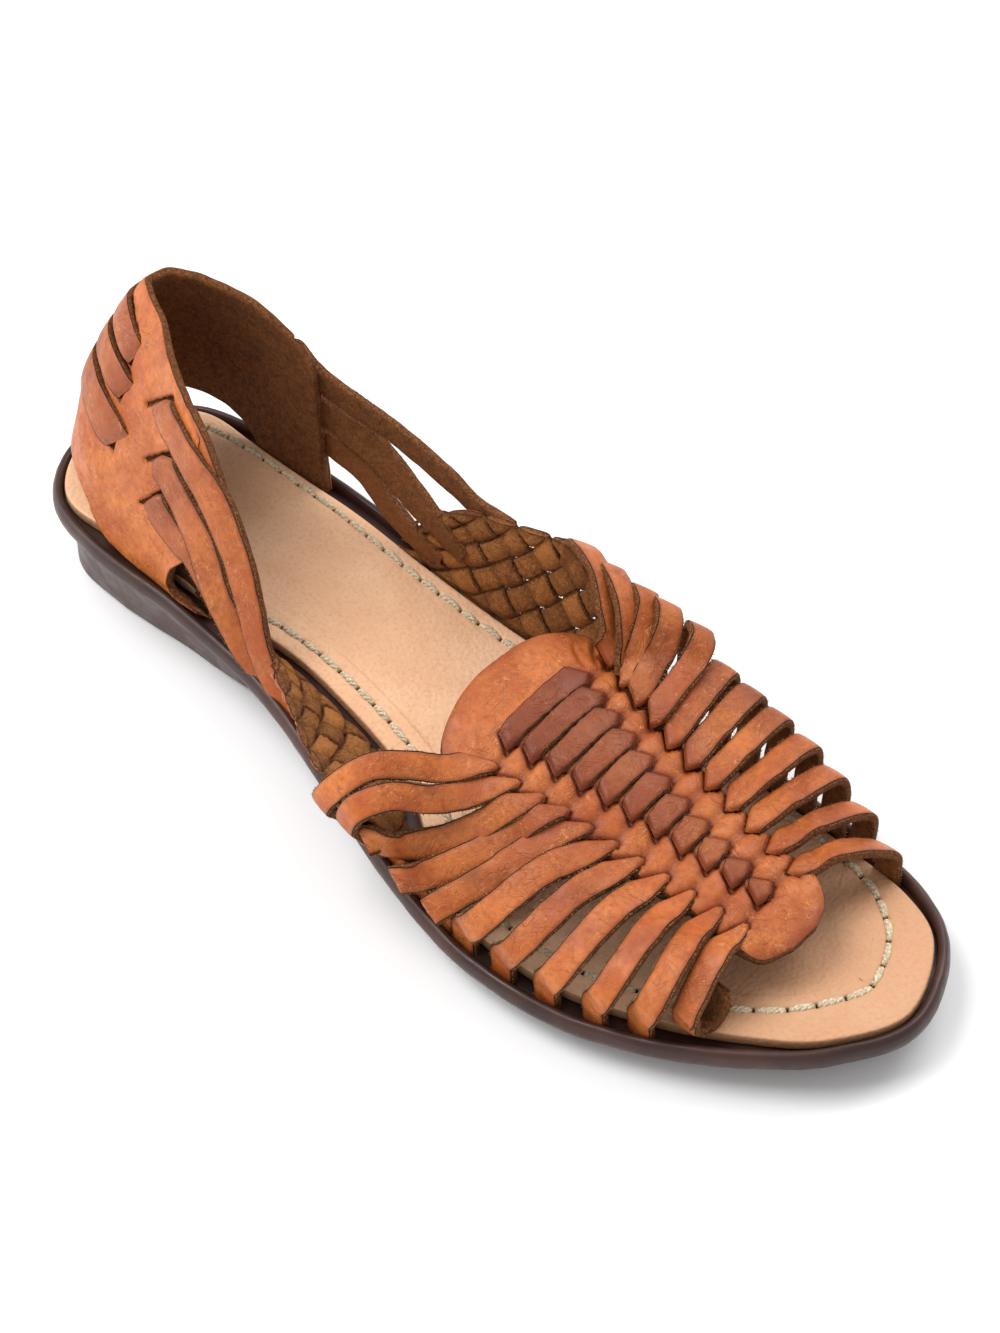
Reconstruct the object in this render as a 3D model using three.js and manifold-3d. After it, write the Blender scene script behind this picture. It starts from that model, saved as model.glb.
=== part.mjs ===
// Huarache sandal, right shoe: a moulded wedge sole, a leather footbed, a woven upper and a heel counter.
// Millimetres. The working frame has its origin at the back of the heel on the floor: +X runs to the toe,
// +Y to the medial side (towards the other foot) and +Z up. The finished group is centred over its own base.
import * as THREE from "three";
import Module from "manifold-3d";

const wasm = await Module();
wasm.setup();

// ---- Driving dimensions ------------------------------------------------------------------------------------

const LENGTH = 255; // outsole, heel to toe
const GAP = 0.3; // clearance between pieces that meet
const SLIVER = 0.04; // smallest edge kept where straps are joined and trimmed
const STRAP_THICK = 2.0;
const STRAP_WIDTH = 6.2; // vamp straps
const PLUG_THICK = 2.2; // centre piece of the vamp
const BRAID_THICK = 2.8; // two leather strands crossing
const COUNTER_THICK = 2.4; // grain leather with a suede lining
const PLATFORM_DROP = 2.8; // footbed seat below the rim's top
const FOOTBED_RISE = 0.5; // footbed's top above the rim
const RIM_INSET = 2.7; // inner edge of the rim, from the outline

// Sole sections, one row per station: half widths of the outline each side of the heel's axis, the rim's
// height above the floor, the height of the underside (arch and toe spring), and how far in from the outline
// the wall ends at the bottom.
const SOLE = [
  { x: 3.5, lateral: 11.5, medial: 12.5, rim: 25.0, under: 0.8, wall: 2.0 },
  { x: 14, lateral: 22.5, medial: 23.5, rim: 24.8, under: 0.0, wall: 3.0 },
  { x: 32, lateral: 27.0, medial: 28.5, rim: 24.3, under: 0.0, wall: 5.0 },
  { x: 62, lateral: 26.5, medial: 30.0, rim: 22.6, under: 0.0, wall: 6.0 },
  { x: 92, lateral: 27.8, medial: 30.5, rim: 19.3, under: 3.6, wall: 6.0 },
  { x: 122, lateral: 34.2, medial: 32.5, rim: 14.6, under: 2.8, wall: 5.5 },
  { x: 150, lateral: 41.5, medial: 35.5, rim: 11.8, under: 0.0, wall: 5.0 },
  { x: 174, lateral: 45.0, medial: 37.5, rim: 10.7, under: 0.0, wall: 5.0 },
  { x: 196, lateral: 43.0, medial: 38.0, rim: 10.4, under: 0.0, wall: 5.0 },
  { x: 216, lateral: 35.8, medial: 36.8, rim: 11.0, under: 0.7, wall: 5.0 },
  { x: 234, lateral: 24.8, medial: 33.0, rim: 12.2, under: 2.6, wall: 5.0 },
  { x: 247, lateral: 13.0, medial: 24.5, rim: 13.3, under: 4.4, wall: 5.0 },
];
const HEEL_Y = 0.5; // the outline's rearmost point
const TOE_Y = 4; // the outline's foremost point

// Distance from the outline to the footbed's edge. The straps go down between that edge and the rim.
const FOOTBED = [
  { x: 0, lateral: 3.8, medial: 3.8 },
  { x: 24, lateral: 4.0, medial: 4.0 },
  { x: 33, lateral: 7.2, medial: 6.9 },
  { x: 66, lateral: 7.2, medial: 6.6 },
  { x: 72, lateral: 8.0, medial: 5.0 },
  { x: 78, lateral: 9.0, medial: 6.2 },
  { x: 88, lateral: 11.8, medial: 6.4 },
  { x: 108, lateral: 14.4, medial: 6.4 },
  { x: 124, lateral: 17.0, medial: 6.4 },
  { x: 136, lateral: 15.0, medial: 6.4 },
  { x: 152, lateral: 9.4, medial: 6.4 },
  { x: 166, lateral: 6.4, medial: 6.4 },
  { x: 228, lateral: 6.4, medial: 6.4 },
  { x: 238, lateral: 4.0, medial: 4.0 },
  { x: 255, lateral: 3.8, medial: 3.8 },
];

// Centre piece of the vamp: its edges each side and the height of its crown, heel end to toe end.
const PLUG = [
  { x: 141.5, lateral: -4.0, medial: 6.0, crown: 41.6 },
  { x: 143.5, lateral: -14.0, medial: 15.0, crown: 41.6 },
  { x: 147.5, lateral: -22.0, medial: 20.5, crown: 41.2 },
  { x: 152.5, lateral: -25.0, medial: 22.0, crown: 40.6 },
  { x: 159, lateral: -23.5, medial: 20.0, crown: 39.2 },
  { x: 170, lateral: -19.0, medial: 17.0, crown: 36.6 },
  { x: 182, lateral: -15.5, medial: 14.0, crown: 33.3 },
  { x: 196, lateral: -12.8, medial: 12.0, crown: 29.8 },
  { x: 210, lateral: -11.0, medial: 11.0, crown: 27.2 },
  { x: 220, lateral: -13.0, medial: 11.5, crown: 25.8 },
  { x: 226, lateral: -11.0, medial: 8.5, crown: 25.0 },
  { x: 229, lateral: -4.5, medial: 2.5, crown: 24.6 },
];

// Vamp straps, heel end to toe end. Each comes out of the centre piece at its slit, turns down at its bend and
// ends at its foot, in the slot between the footbed and the rim. The three nearest the heel end in the braids,
// at a height of their own.
const LATERAL_STRAPS = [
  { slitX: 161, slitY: -18.6, bendX: 141, bendY: -44.5, bendZ: 35.5, footX: 132, footY: -34.5, footZ: 24.0 },
  { slitX: 166, slitY: -17.6, bendX: 147.5, bendY: -45.5, bendZ: 31.0, footX: 140, footY: -35.5, footZ: 19.0 },
  { slitX: 171.5, slitY: -16.2, bendX: 153, bendY: -45.0, bendZ: 26.5, footX: 146.5 },
  { slitX: 177, slitY: -14.8, bendX: 160, bendY: -44.0, bendZ: 23.5, footX: 153.5 },
  { slitX: 182, slitY: -13.5, bendX: 168, bendY: -43.2, bendZ: 22.0, footX: 161.5 },
  { slitX: 187.5, slitY: -12.3, bendX: 177, bendY: -42.4, bendZ: 21.5, footX: 171.5 },
  { slitX: 193.5, slitY: -11.3, bendX: 187, bendY: -41.4, bendZ: 21.0, footX: 182.5 },
  { slitX: 199.5, slitY: -10.3, bendX: 197, bendY: -39.8, bendZ: 20.5, footX: 193.5 },
  { slitX: 205.5, slitY: -9.2, bendX: 207, bendY: -36.8, bendZ: 20.0, footX: 204 },
  { slitX: 212, slitY: -8.2, bendX: 215.5, bendY: -32.8, bendZ: 19.5, footX: 213 },
  { slitX: 218.5, slitY: -7.2, bendX: 221.5, bendY: -28.6, bendZ: 18.5, footX: 221 },
];
const MEDIAL_STRAPS = [
  { slitX: 158.5, slitY: 16.6, bendX: 148.5, bendY: 31.0, bendZ: 45.0, footX: 143, footY: 32.0, footZ: 38.0 },
  { slitX: 163.5, slitY: 15.6, bendX: 155.5, bendY: 32.0, bendZ: 44.0, footX: 150.5, footY: 31.8, footZ: 32.0 },
  { slitX: 169, slitY: 14.3, bendX: 163, bendY: 33.4, bendZ: 41.5, footX: 158.5 },
  { slitX: 174.5, slitY: 13.0, bendX: 169.5, bendY: 34.2, bendZ: 38.5, footX: 167.5 },
  { slitX: 180.5, slitY: 12.0, bendX: 176.5, bendY: 34.6, bendZ: 35.5, footX: 176 },
  { slitX: 186.5, slitY: 11.0, bendX: 184, bendY: 34.8, bendZ: 33.5, footX: 184 },
  { slitX: 192.5, slitY: 10.1, bendX: 191.5, bendY: 34.9, bendZ: 31.5, footX: 192 },
  { slitX: 198.5, slitY: 9.5, bendX: 199.5, bendY: 34.8, bendZ: 29.0, footX: 200.5 },
  { slitX: 204.5, slitY: 9.2, bendX: 207.5, bendY: 34.2, bendZ: 25.5, footX: 209 },
  { slitX: 211, slitY: 8.5, bendX: 216.5, bendY: 33.4, bendZ: 21.5, footX: 217.5 },
  { slitX: 217.5, slitY: 7.8, bendX: 225, bendY: 31.0, bendZ: 17.5, footX: 225.5 },
];

// Side braids: a woven wall each side from the counter's straps to the vamp. Top edge in the working frame,
// bottom edge as a distance in from the outline.
const LATERAL_BRAID = [
  { x: 88, topX: 97, topY: -25.0, topZ: 27.5, inset: 9.4 },
  { x: 98, topX: 105, topY: -29.0, topZ: 29.5, inset: 10.8 },
  { x: 110, topX: 115, topY: -34.0, topZ: 30.5, inset: 12.6 },
  { x: 122, topX: 125, topY: -39.0, topZ: 31.5, inset: 14.4 },
  { x: 134, topX: 135, topY: -42.5, topZ: 33.5, inset: 13.2 },
  { x: 146, topX: 145, topY: -44.0, topZ: 31.0, inset: 8.6 },
];
const MEDIAL_BRAID = [
  { x: 83, topX: 86, topY: 26.6, topZ: 26.0, inset: 4.6 },
  { x: 90, topX: 96, topY: 27.6, topZ: 36.0, inset: 4.6 },
  { x: 102, topX: 109, topY: 28.8, topZ: 42.5, inset: 4.6 },
  { x: 116, topX: 121, topY: 30.8, topZ: 44.5, inset: 4.6 },
  { x: 132, topX: 134, topY: 33.2, topZ: 45.5, inset: 4.6 },
  { x: 148, topX: 147, topY: 32.7, topZ: 45.5, inset: 4.6 },
  { x: 158, topX: 157, topY: 32.8, topZ: 41.0, inset: 4.6 },
];

// Heel counter: from the lateral front edge round the back to the medial front edge. The foot is the curve on
// the footbed seat, the collar is the top edge, and lift raises the lower edge in an arch over the back.
const COUNTER = [
  { footX: 66, footY: -21.9, collarX: 66, collarY: -12.0, collarZ: 66.5, lift: 0 },
  { footX: 54, footY: -22.1, collarX: 57, collarY: -8.6, collarZ: 72.0, lift: 0 },
  { footX: 42, footY: -22.2, collarX: 48, collarY: -4.3, collarZ: 74.8, lift: 0 },
  { footX: 30, footY: -21.6, collarX: 39, collarY: 1.0, collarZ: 77.0, lift: 6.5 },
  { footX: 18, footY: -18.4, collarX: 31, collarY: 4.6, collarZ: 78.2, lift: 10.5 },
  { footX: 9.5, footY: -11.0, collarX: 26.5, collarY: 7.8, collarZ: 78.5, lift: 12.5 },
  { footX: 6.0, footY: 0.5, collarX: 27, collarY: 12.0, collarZ: 78.4, lift: 13.0 },
  { footX: 9.5, footY: 12.0, collarX: 31.5, collarY: 15.6, collarZ: 77.8, lift: 12.5 },
  { footX: 18, footY: 19.6, collarX: 38, collarY: 18.6, collarZ: 76.2, lift: 10.5 },
  { footX: 29, footY: 23.2, collarX: 45, collarY: 21.0, collarZ: 74.4, lift: 6.0 },
  { footX: 39, footY: 24.3, collarX: 51, collarY: 22.8, collarZ: 70.6, lift: 0 },
  { footX: 49, footY: 24.9, collarX: 56, collarY: 24.2, collarZ: 65.6, lift: 0 },
  { footX: 59, footY: 25.2, collarX: 60, collarY: 25.2, collarZ: 58.0, lift: 0 },
];
const COUNTER_BELLY = 5.5; // how far the counter swells between foot and collar at the back

// Straps that come out through the counter and run forward to the braids. The first rows lie on the counter's
// outside at u along it and v up it. The others are points in the working frame.
const HEEL_STRAPS = {
  lateral_1: [
    { u: 0.14, v: 0.75, width: 8.5 },
    { u: 0.03, v: 0.73, width: 8.0 },
    { x: 78, y: -20.8, z: 43.5, width: 7.0 },
    { x: 93, y: -26.2, z: 33.0, width: 6.2 },
    { braidX: 96, v: 0.86, width: 6.0 },
  ],
  lateral_2: [
    { u: 0.13, v: 0.55, width: 8.5 },
    { u: 0.03, v: 0.50, width: 8.0 },
    { x: 76, y: -25.6, z: 35.5, width: 7.5 },
    { x: 92, y: -29.2, z: 27.0, width: 6.5 },
    { braidX: 97, v: 0.56, width: 6.0 },
  ],
  lateral_3: [
    { u: 0.14, v: 0.36, width: 8.0 },
    { u: 0.04, v: 0.27, width: 7.0 },
    { x: 74, y: -25.2, z: 28.0, width: 6.2 },
    { x: 85, y: -23.4, z: 23.5, width: 6.0 },
    { braidX: 96, v: 0.24, width: 6.0 },
  ],
  medial_1: [
    { u: 0.88, v: 0.93, width: 7.5 },
    { u: 0.97, v: 0.88, width: 7.0 },
    { x: 80, y: 29.2, z: 50.5, width: 6.5 },
    { x: 96, y: 29.8, z: 46.5, width: 6.2 },
    { braidX: 106, v: 0.93, width: 6.0 },
  ],
  medial_2: [
    { u: 0.88, v: 0.66, width: 8.0 },
    { u: 0.97, v: 0.68, width: 7.5 },
    { x: 76, y: 28.8, z: 44.5, width: 7.0 },
    { x: 90, y: 28.4, z: 38.5, width: 6.5 },
    { braidX: 99, v: 0.64, width: 6.0 },
  ],
  medial_3: [
    { u: 0.88, v: 0.4, width: 8.0 },
    { u: 0.97, v: 0.38, width: 7.0 },
    { x: 71, y: 27.8, z: 34.5, width: 6.5 },
    { x: 81, y: 26.8, z: 28.5, width: 6.2 },
    { braidX: 92, v: 0.3, width: 6.0 },
  ],
};

// The collar's edge carries on forward from the counter as a strap of the same leather.
const COLLAR_STRAP = [
  { u: 0.07, v: 0.92, width: 9.0 },
  { x: 70, y: -15.0, z: 60.0, width: 8.0 },
  { x: 83, y: -20.0, z: 48.5, width: 7.5 },
  { x: 95, y: -24.6, z: 37.5, width: 7.0 },
  { x: 103, y: -27.6, z: 32.5, width: 6.5 },
];

const COLORS = {
  outsole: 0x43302b,
  footbed: 0xd2a67c,
  upper: 0xb06a3a,
  heel_counter: 0xb87245,
};

// ---- Curves and tables -------------------------------------------------------------------------------------

// Smooth value of one column of a table at x. It keeps to the range of the rows on each side.
function column(table, name, x, key = "x") {
  const last = table.length - 1;
  if (x <= table[0][key]) return table[0][name];
  if (x >= table[last][key]) return table[last][name];
  const i = table.findIndex((row) => row[key] > x) - 1;
  const rise = (k) => (table[k + 1][name] - table[k][name]) / (table[k + 1][key] - table[k][key]);
  const slope = (k) => {
    if (k === 0) return rise(0);
    if (k === last) return rise(last - 1);
    const [before, after] = [rise(k - 1), rise(k)];
    return before * after <= 0 ? 0 : (2 * before * after) / (before + after);
  };
  const span = table[i + 1][key] - table[i][key];
  const t = (x - table[i][key]) / span;
  const [t2, t3] = [t * t, t * t * t];
  const ends = (2 * t3 - 3 * t2 + 1) * table[i][name] + (3 * t2 - 2 * t3) * table[i + 1][name];
  return ends + ((t3 - 2 * t2 + t) * slope(i) + (t3 - t2) * slope(i + 1)) * span;
}

const outlineCurve = new THREE.CatmullRomCurve3(
  [
    new THREE.Vector3(0, HEEL_Y, 0),
    ...SOLE.map((s) => new THREE.Vector3(s.x, -s.lateral, 0)),
    new THREE.Vector3(LENGTH, TOE_Y, 0),
    ...SOLE.toReversed().map((s) => new THREE.Vector3(s.x, s.medial, 0)),
  ],
  true,
  "centripetal",
);

// Outline point at t (0 heel, 0.5 toe, lateral side first) moved in by a distance. Z is left at 0.
function outlinePoint(t, inset) {
  const p = outlineCurve.getPoint(t % 1);
  const d = outlineCurve.getTangent(t % 1);
  return new THREE.Vector3(p.x - d.y * inset, p.y + d.x * inset, 0);
}

// Point on the lateral (-1) or medial (+1) side at x, moved in by a distance.
function sidePoint(x, side, inset) {
  let [low, high] = side < 0 ? [0, 0.5] : [1, 0.5];
  for (let i = 0; i < 24; i++) {
    const mid = (low + high) / 2;
    if (outlinePoint(mid, inset).x < x) low = mid;
    else high = mid;
  }
  return outlinePoint((low + high) / 2, inset);
}

const rimZ = (x) => column(SOLE, "rim", x);
const underZ = (x) => (x > SOLE.at(-1).x ? 4.4 + 0.14 * (x - SOLE.at(-1).x) : column(SOLE, "under", x));
const seatZ = (x) => rimZ(x) - PLATFORM_DROP;

// ---- Closed meshes -----------------------------------------------------------------------------------------

// Solid from vertices and triangles. The faces are turned round together where they point inwards.
function closedSolid(vertices, faces) {
  let volume = 0;
  for (const [a, b, c] of faces)
    volume += vertices[a].dot(new THREE.Vector3().crossVectors(vertices[b], vertices[c]));
  const triangles = volume < 0 ? faces.map(([a, b, c]) => [a, c, b]) : faces;
  return new wasm.Manifold(
    new wasm.Mesh({
      numProp: 3,
      vertProperties: new Float32Array(vertices.flatMap((v) => [v.x, v.y, v.z])),
      triVerts: new Uint32Array(triangles.flat()),
    }),
  );
}

// Solid between rings of equal length that start at the heel and run round the outline. The first and last
// rings are closed by strips from side to side.
function ringSolid(rings) {
  const count = rings[0].length;
  const faces = [];
  const quad = (a, b, c, d) => faces.push([a, b, c], [a, c, d]);
  for (let r = 0; r + 1 < rings.length; r++)
    for (let i = 0; i < count; i++) {
      const j = (i + 1) % count;
      quad(r * count + i, r * count + j, (r + 1) * count + j, (r + 1) * count + i);
    }
  const cap = (start, flip) => {
    const add = (a, b, c) => faces.push(flip ? [start + a, start + c, start + b] : [start + a, start + b, start + c]);
    const half = count / 2;
    add(0, count - 1, 1);
    for (let i = 1; i < half - 1; i++) {
      add(i, count - i, i + 1);
      add(i + 1, count - i, count - i - 1);
    }
    add(half - 1, half + 1, half);
  };
  cap(0, false);
  cap((rings.length - 1) * count, true);
  return closedSolid(rings.flat(), faces);
}

// Shell of even thickness on both sides of a surface given as rows of points, measured along the surface's own
// normal or along one direction.
function shellSolid(rows, thickness, direction = null) {
  const [n, m] = [rows.length, rows[0].length];
  const clamp = (v, top) => Math.min(Math.max(v, 0), top);
  const normal = (i, j) => {
    if (direction) return direction;
    const along = rows[clamp(i + 1, n - 1)][j].clone().sub(rows[clamp(i - 1, n - 1)][j]);
    const across = rows[i][clamp(j + 1, m - 1)].clone().sub(rows[i][clamp(j - 1, m - 1)]);
    return along.cross(across).normalize();
  };
  const layer = (side) =>
    rows.flatMap((row, i) => row.map((p, j) => p.clone().addScaledVector(normal(i, j), (side * thickness) / 2)));
  const vertices = [...layer(1), ...layer(-1)];
  const top = (i, j) => i * m + j;
  const bottom = (i, j) => n * m + i * m + j;
  const faces = [];
  const quad = (a, b, c, d) => faces.push([a, b, c], [a, c, d]);
  for (let i = 0; i + 1 < n; i++)
    for (let j = 0; j + 1 < m; j++) {
      quad(top(i, j), top(i + 1, j), top(i + 1, j + 1), top(i, j + 1));
      quad(bottom(i, j), bottom(i, j + 1), bottom(i + 1, j + 1), bottom(i + 1, j));
    }
  for (let i = 0; i + 1 < n; i++) {
    quad(top(i, 0), bottom(i, 0), bottom(i + 1, 0), top(i + 1, 0));
    quad(top(i + 1, m - 1), bottom(i + 1, m - 1), bottom(i, m - 1), top(i, m - 1));
  }
  for (let j = 0; j + 1 < m; j++) {
    quad(top(0, j + 1), bottom(0, j + 1), bottom(0, j), top(0, j));
    quad(top(n - 1, j), bottom(n - 1, j), bottom(n - 1, j + 1), top(n - 1, j + 1));
  }
  return closedSolid(vertices, faces);
}

// Flat strap along a smooth line through stations. Each station has a point, the normal of the strap's face
// and its width, which lies across the line. Each span between stations is cut into its own number of steps.
function strapSolid(stations, thickness, stepsPerSpan) {
  const line = new THREE.CatmullRomCurve3(stations.map((s) => s.point));
  const spans = stepsPerSpan.length;
  const rows = [];
  const addRow = (t) => {
    const k = Math.min(Math.floor(t * spans), spans - 1);
    const f = t * spans - k;
    const p = line.getPoint(t);
    const normal = stations[k].normal.clone().lerp(stations[k + 1].normal, f);
    const across = line.getTangent(t).cross(normal).normalize();
    const half = THREE.MathUtils.lerp(stations[k].width, stations[k + 1].width, f) / 2;
    rows.push([p.clone().addScaledVector(across, -half), p.clone().addScaledVector(across, half)]);
  };
  addRow(0);
  stepsPerSpan.forEach((steps, span) => {
    for (let i = 1; i <= steps; i++) addRow((span + i / steps) / spans);
  });
  return shellSolid(rows, thickness);
}

function joined(solids) {
  return solids.reduce((whole, piece) => whole.add(piece));
}

// ---- Outsole -----------------------------------------------------------------------------------------------

// Sole profile from the underside's edge to the footbed seat. Rows from the underside are set in from the end of
// the wall and the others from the outline, with heights from the underside and from the rim's top.
const SOLE_PROFILE = [
  { from: "under", inset: 1.5, rise: 0.0 },
  { from: "under", inset: 0.0, rise: 1.4 },
  { from: "rim", inset: 2.6, rise: -6.0 },
  { from: "rim", inset: 2.4, rise: -5.1 },
  { from: "rim", inset: 0.6, rise: -4.5 },
  { from: "rim", inset: 0.0, rise: -2.8 },
  { from: "rim", inset: 0.4, rise: -1.0 },
  { from: "rim", inset: 1.3, rise: 0.0 },
  { from: "rim", inset: 2.2, rise: -0.1 },
  { from: "seat", inset: RIM_INSET, rise: -0.8 },
  { from: "seat", inset: RIM_INSET + 0.1, rise: -PLATFORM_DROP },
];
const RING_POINTS = 84;

// The outsole, or the outsole grown by a clearance.
function outsole(clearance = 0) {
  const rings = SOLE_PROFILE.map(({ from, inset, rise }) =>
    Array.from({ length: RING_POINTS }, (_, i) => {
      const t = i / RING_POINTS;
      const wall = from === "under" ? column(SOLE, "wall", outlinePoint(t, 0).x) : 0;
      const p = outlinePoint(t, wall + inset + (from === "seat" ? clearance : -clearance));
      p.z = rise + (from === "under" ? underZ(p.x) - clearance : rimZ(p.x) + clearance);
      return p;
    }),
  );
  return ringSolid(rings);
}

// ---- Footbed -----------------------------------------------------------------------------------------------

const FOOTBED_PROFILE = [
  { inset: 0.5, rise: GAP },
  { inset: 0.0, rise: 1.0 },
  { inset: 0.0, rise: PLATFORM_DROP + FOOTBED_RISE - 0.8 },
  { inset: 0.8, rise: PLATFORM_DROP + FOOTBED_RISE },
];

// The footbed, or the footbed grown by a clearance at its edge and on top.
function footbed(clearance = 0) {
  const rings = FOOTBED_PROFILE.map((row) =>
    Array.from({ length: RING_POINTS }, (_, i) => {
      const t = i / RING_POINTS;
      const edge = column(FOOTBED, t < 0.5 ? "lateral" : "medial", outlinePoint(t, 0).x);
      const p = outlinePoint(t, edge + row.inset - clearance);
      p.z = seatZ(p.x) + row.rise + (row.rise > 1 ? clearance : -clearance);
      return p;
    }),
  );
  return ringSolid(rings);
}

// ---- Upper -------------------------------------------------------------------------------------------------

const PLUG_FALL = 0.008; // how fast the centre piece curves down towards its edges, per mm
const PLUG_COLUMNS = 6;
const plugCurve = (name) =>
  new THREE.CatmullRomCurve3(PLUG.map((row) => new THREE.Vector3(row.x, row[name], row.crown)));

function plug() {
  const count = 2 * (PLUG.length - 1);
  const [lateral, medial] = [plugCurve("lateral"), plugCurve("medial")];
  const rows = Array.from({ length: count + 1 }, (_, i) => {
    const [from, to] = [lateral.getPoint(i / count), medial.getPoint(i / count)];
    return Array.from({ length: PLUG_COLUMNS + 1 }, (_, j) => {
      const p = from.clone().lerp(to, j / PLUG_COLUMNS);
      p.z -= PLUG_THICK / 2 + PLUG_FALL * p.y * p.y;
      return p;
    });
  });
  return shellSolid(rows, PLUG_THICK, new THREE.Vector3(0.19, 0, 0.98));
}

const SLOT_INSET = 4.5; // middle of the slot between the rim and the footbed

// Away from the line that runs through the middle of the foot.
const fromFoot = (p) => new THREE.Vector3(0, p.y - 1, p.z - 8).normalize();

function vampStrap(strap) {
  const side = Math.sign(strap.slitY);
  const crown = column(PLUG, "crown", strap.slitX);
  const slit = new THREE.Vector3(strap.slitX, strap.slitY, crown - 0.6);
  const bend = new THREE.Vector3(strap.bendX, strap.bendY, strap.bendZ);
  const tucked = slit.clone().lerp(bend, -0.14);
  tucked.z = crown - 1.9;
  const shoulder = slit.clone().lerp(bend, 0.5);
  shoulder.z = Math.max(slit.z, bend.z) * 0.5 + shoulder.z * 0.5 + 2.2;
  const bare = [tucked, slit, shoulder, bend].map((point) => ({ point, normal: fromFoot(point) }));
  const foot = "footZ" in strap ? [braidEnd(strap)] : slotEnd(strap.footX, side);
  const stations = [...bare, ...foot].map((station) => ({ ...station, width: STRAP_WIDTH }));
  return strapSolid(stations, STRAP_THICK, [1, 3, 3, 4, 1].slice(0, stations.length - 1));
}

// A strap's end inside a braid.
function braidEnd(strap) {
  const point = new THREE.Vector3(strap.footX, strap.footY, strap.footZ);
  return { point, normal: new THREE.Vector3(0, Math.sign(strap.footY), 0) };
}

// A strap's end in the slot beside the footbed: it goes straight down between the rim and the footbed.
function slotEnd(x, side) {
  const point = sidePoint(x, side, SLOT_INSET);
  const normal = sidePoint(x, side, 0).sub(sidePoint(x, side, 1)).setZ(0).normalize();
  return [3.0, -PLATFORM_DROP - 1].map((rise) => ({ point: point.clone().setZ(rimZ(x) + rise), normal }));
}

const BRAID_ROWS = 10;

// Middle surface of a braid at its foot's x and at v, from 0 at the foot to 1 at the top edge.
function braidPoint(table, x, v) {
  const side = Math.sign(table[0].topY);
  const foot = sidePoint(x, side, column(table, "inset", x));
  foot.z = seatZ(foot.x) + GAP + 0.4;
  const [topX, topY, topZ] = ["topX", "topY", "topZ"].map((name) => column(table, name, x));
  const point = foot.lerp(new THREE.Vector3(topX, topY, topZ), v);
  point.y += side * 3.2 * v * (1 - v);
  return point;
}

function braid(table) {
  const [start, end] = [table[0].x, table.at(-1).x];
  const rows = Array.from({ length: BRAID_ROWS + 1 }, (_, i) =>
    [0, 0.35, 0.7, 1].map((v) => braidPoint(table, THREE.MathUtils.lerp(start, end, i / BRAID_ROWS), v)),
  );
  return shellSolid(rows, BRAID_THICK);
}

// Strap whose first stations lie on the counter's outside and whose others are free. The last one may lie
// inside a braid, at the braid's own x and v.
function heelStrap(table, lift, thickness = STRAP_THICK) {
  const side = Math.sign(table.at(-2).y);
  const freeNormal = new THREE.Vector3(0.1, side, 0.3).normalize();
  const stations = table.map(({ u, v, x, y, z, braidX, width }) => {
    if (braidX) {
      const point = braidPoint(side < 0 ? LATERAL_BRAID : MEDIAL_BRAID, braidX, v);
      return { point, normal: freeNormal, width };
    }
    if (x) return { point: new THREE.Vector3(x, y, z), normal: freeNormal, width };
    const normal = counterNormal(u, v);
    return { point: counterPoint(u, v).addScaledVector(normal, lift), normal, width };
  });
  return strapSolid(stations, thickness, [2, 3, 3, 3]);
}

function upper() {
  const outside = (COUNTER_THICK + STRAP_THICK) / 2 + GAP;
  return joined([
    plug(),
    ...LATERAL_STRAPS.map(vampStrap),
    ...MEDIAL_STRAPS.map(vampStrap),
    braid(LATERAL_BRAID),
    braid(MEDIAL_BRAID),
    ...Object.values(HEEL_STRAPS).map((table) => heelStrap(table, outside)),
  ])
    .subtract(heelCounter(GAP))
    .subtract(outsole(GAP + 0.1))
    .subtract(footbed(GAP))
    .simplify(SLIVER);
}

// ---- Heel counter ------------------------------------------------------------------------------------------

const COUNTER_COLUMNS = 26;
const COUNTER_ROWS = 6;
const counterStations = COUNTER.map((row, i) => ({ ...row, u: i / (COUNTER.length - 1) }));

// Middle surface of the counter at u, from 0 at the lateral front edge to 1 at the medial one, and at v, from 0
// at the footbed seat to 1 at the collar.
function counterPoint(u, v) {
  const value = (name, at = u) => column(counterStations, name, at, "u");
  const foot = new THREE.Vector3(value("footX"), value("footY"), 0);
  foot.z = seatZ(foot.x) + GAP + 0.9;
  const collar = new THREE.Vector3(value("collarX"), value("collarY"), value("collarZ"));
  const du = 1e-3;
  const alongX = value("footX", u + du) - value("footX", u - du);
  const alongY = value("footY", u + du) - value("footY", u - du);
  const outward = new THREE.Vector3(-alongY, alongX, 0).normalize();
  const swell = COUNTER_BELLY * Math.sin(Math.PI * v) * Math.sin(Math.PI * u) ** 2;
  return foot.lerp(collar, v).addScaledVector(outward, swell);
}

// Direction out of the counter's grain side.
function counterNormal(u, v) {
  const d = 0.01;
  const along = counterPoint(Math.min(u + d, 1), v).sub(counterPoint(Math.max(u - d, 0), v));
  const upward = counterPoint(u, Math.min(v + d, 1)).sub(counterPoint(u, Math.max(v - d, 0)));
  return upward.cross(along).normalize();
}

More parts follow.
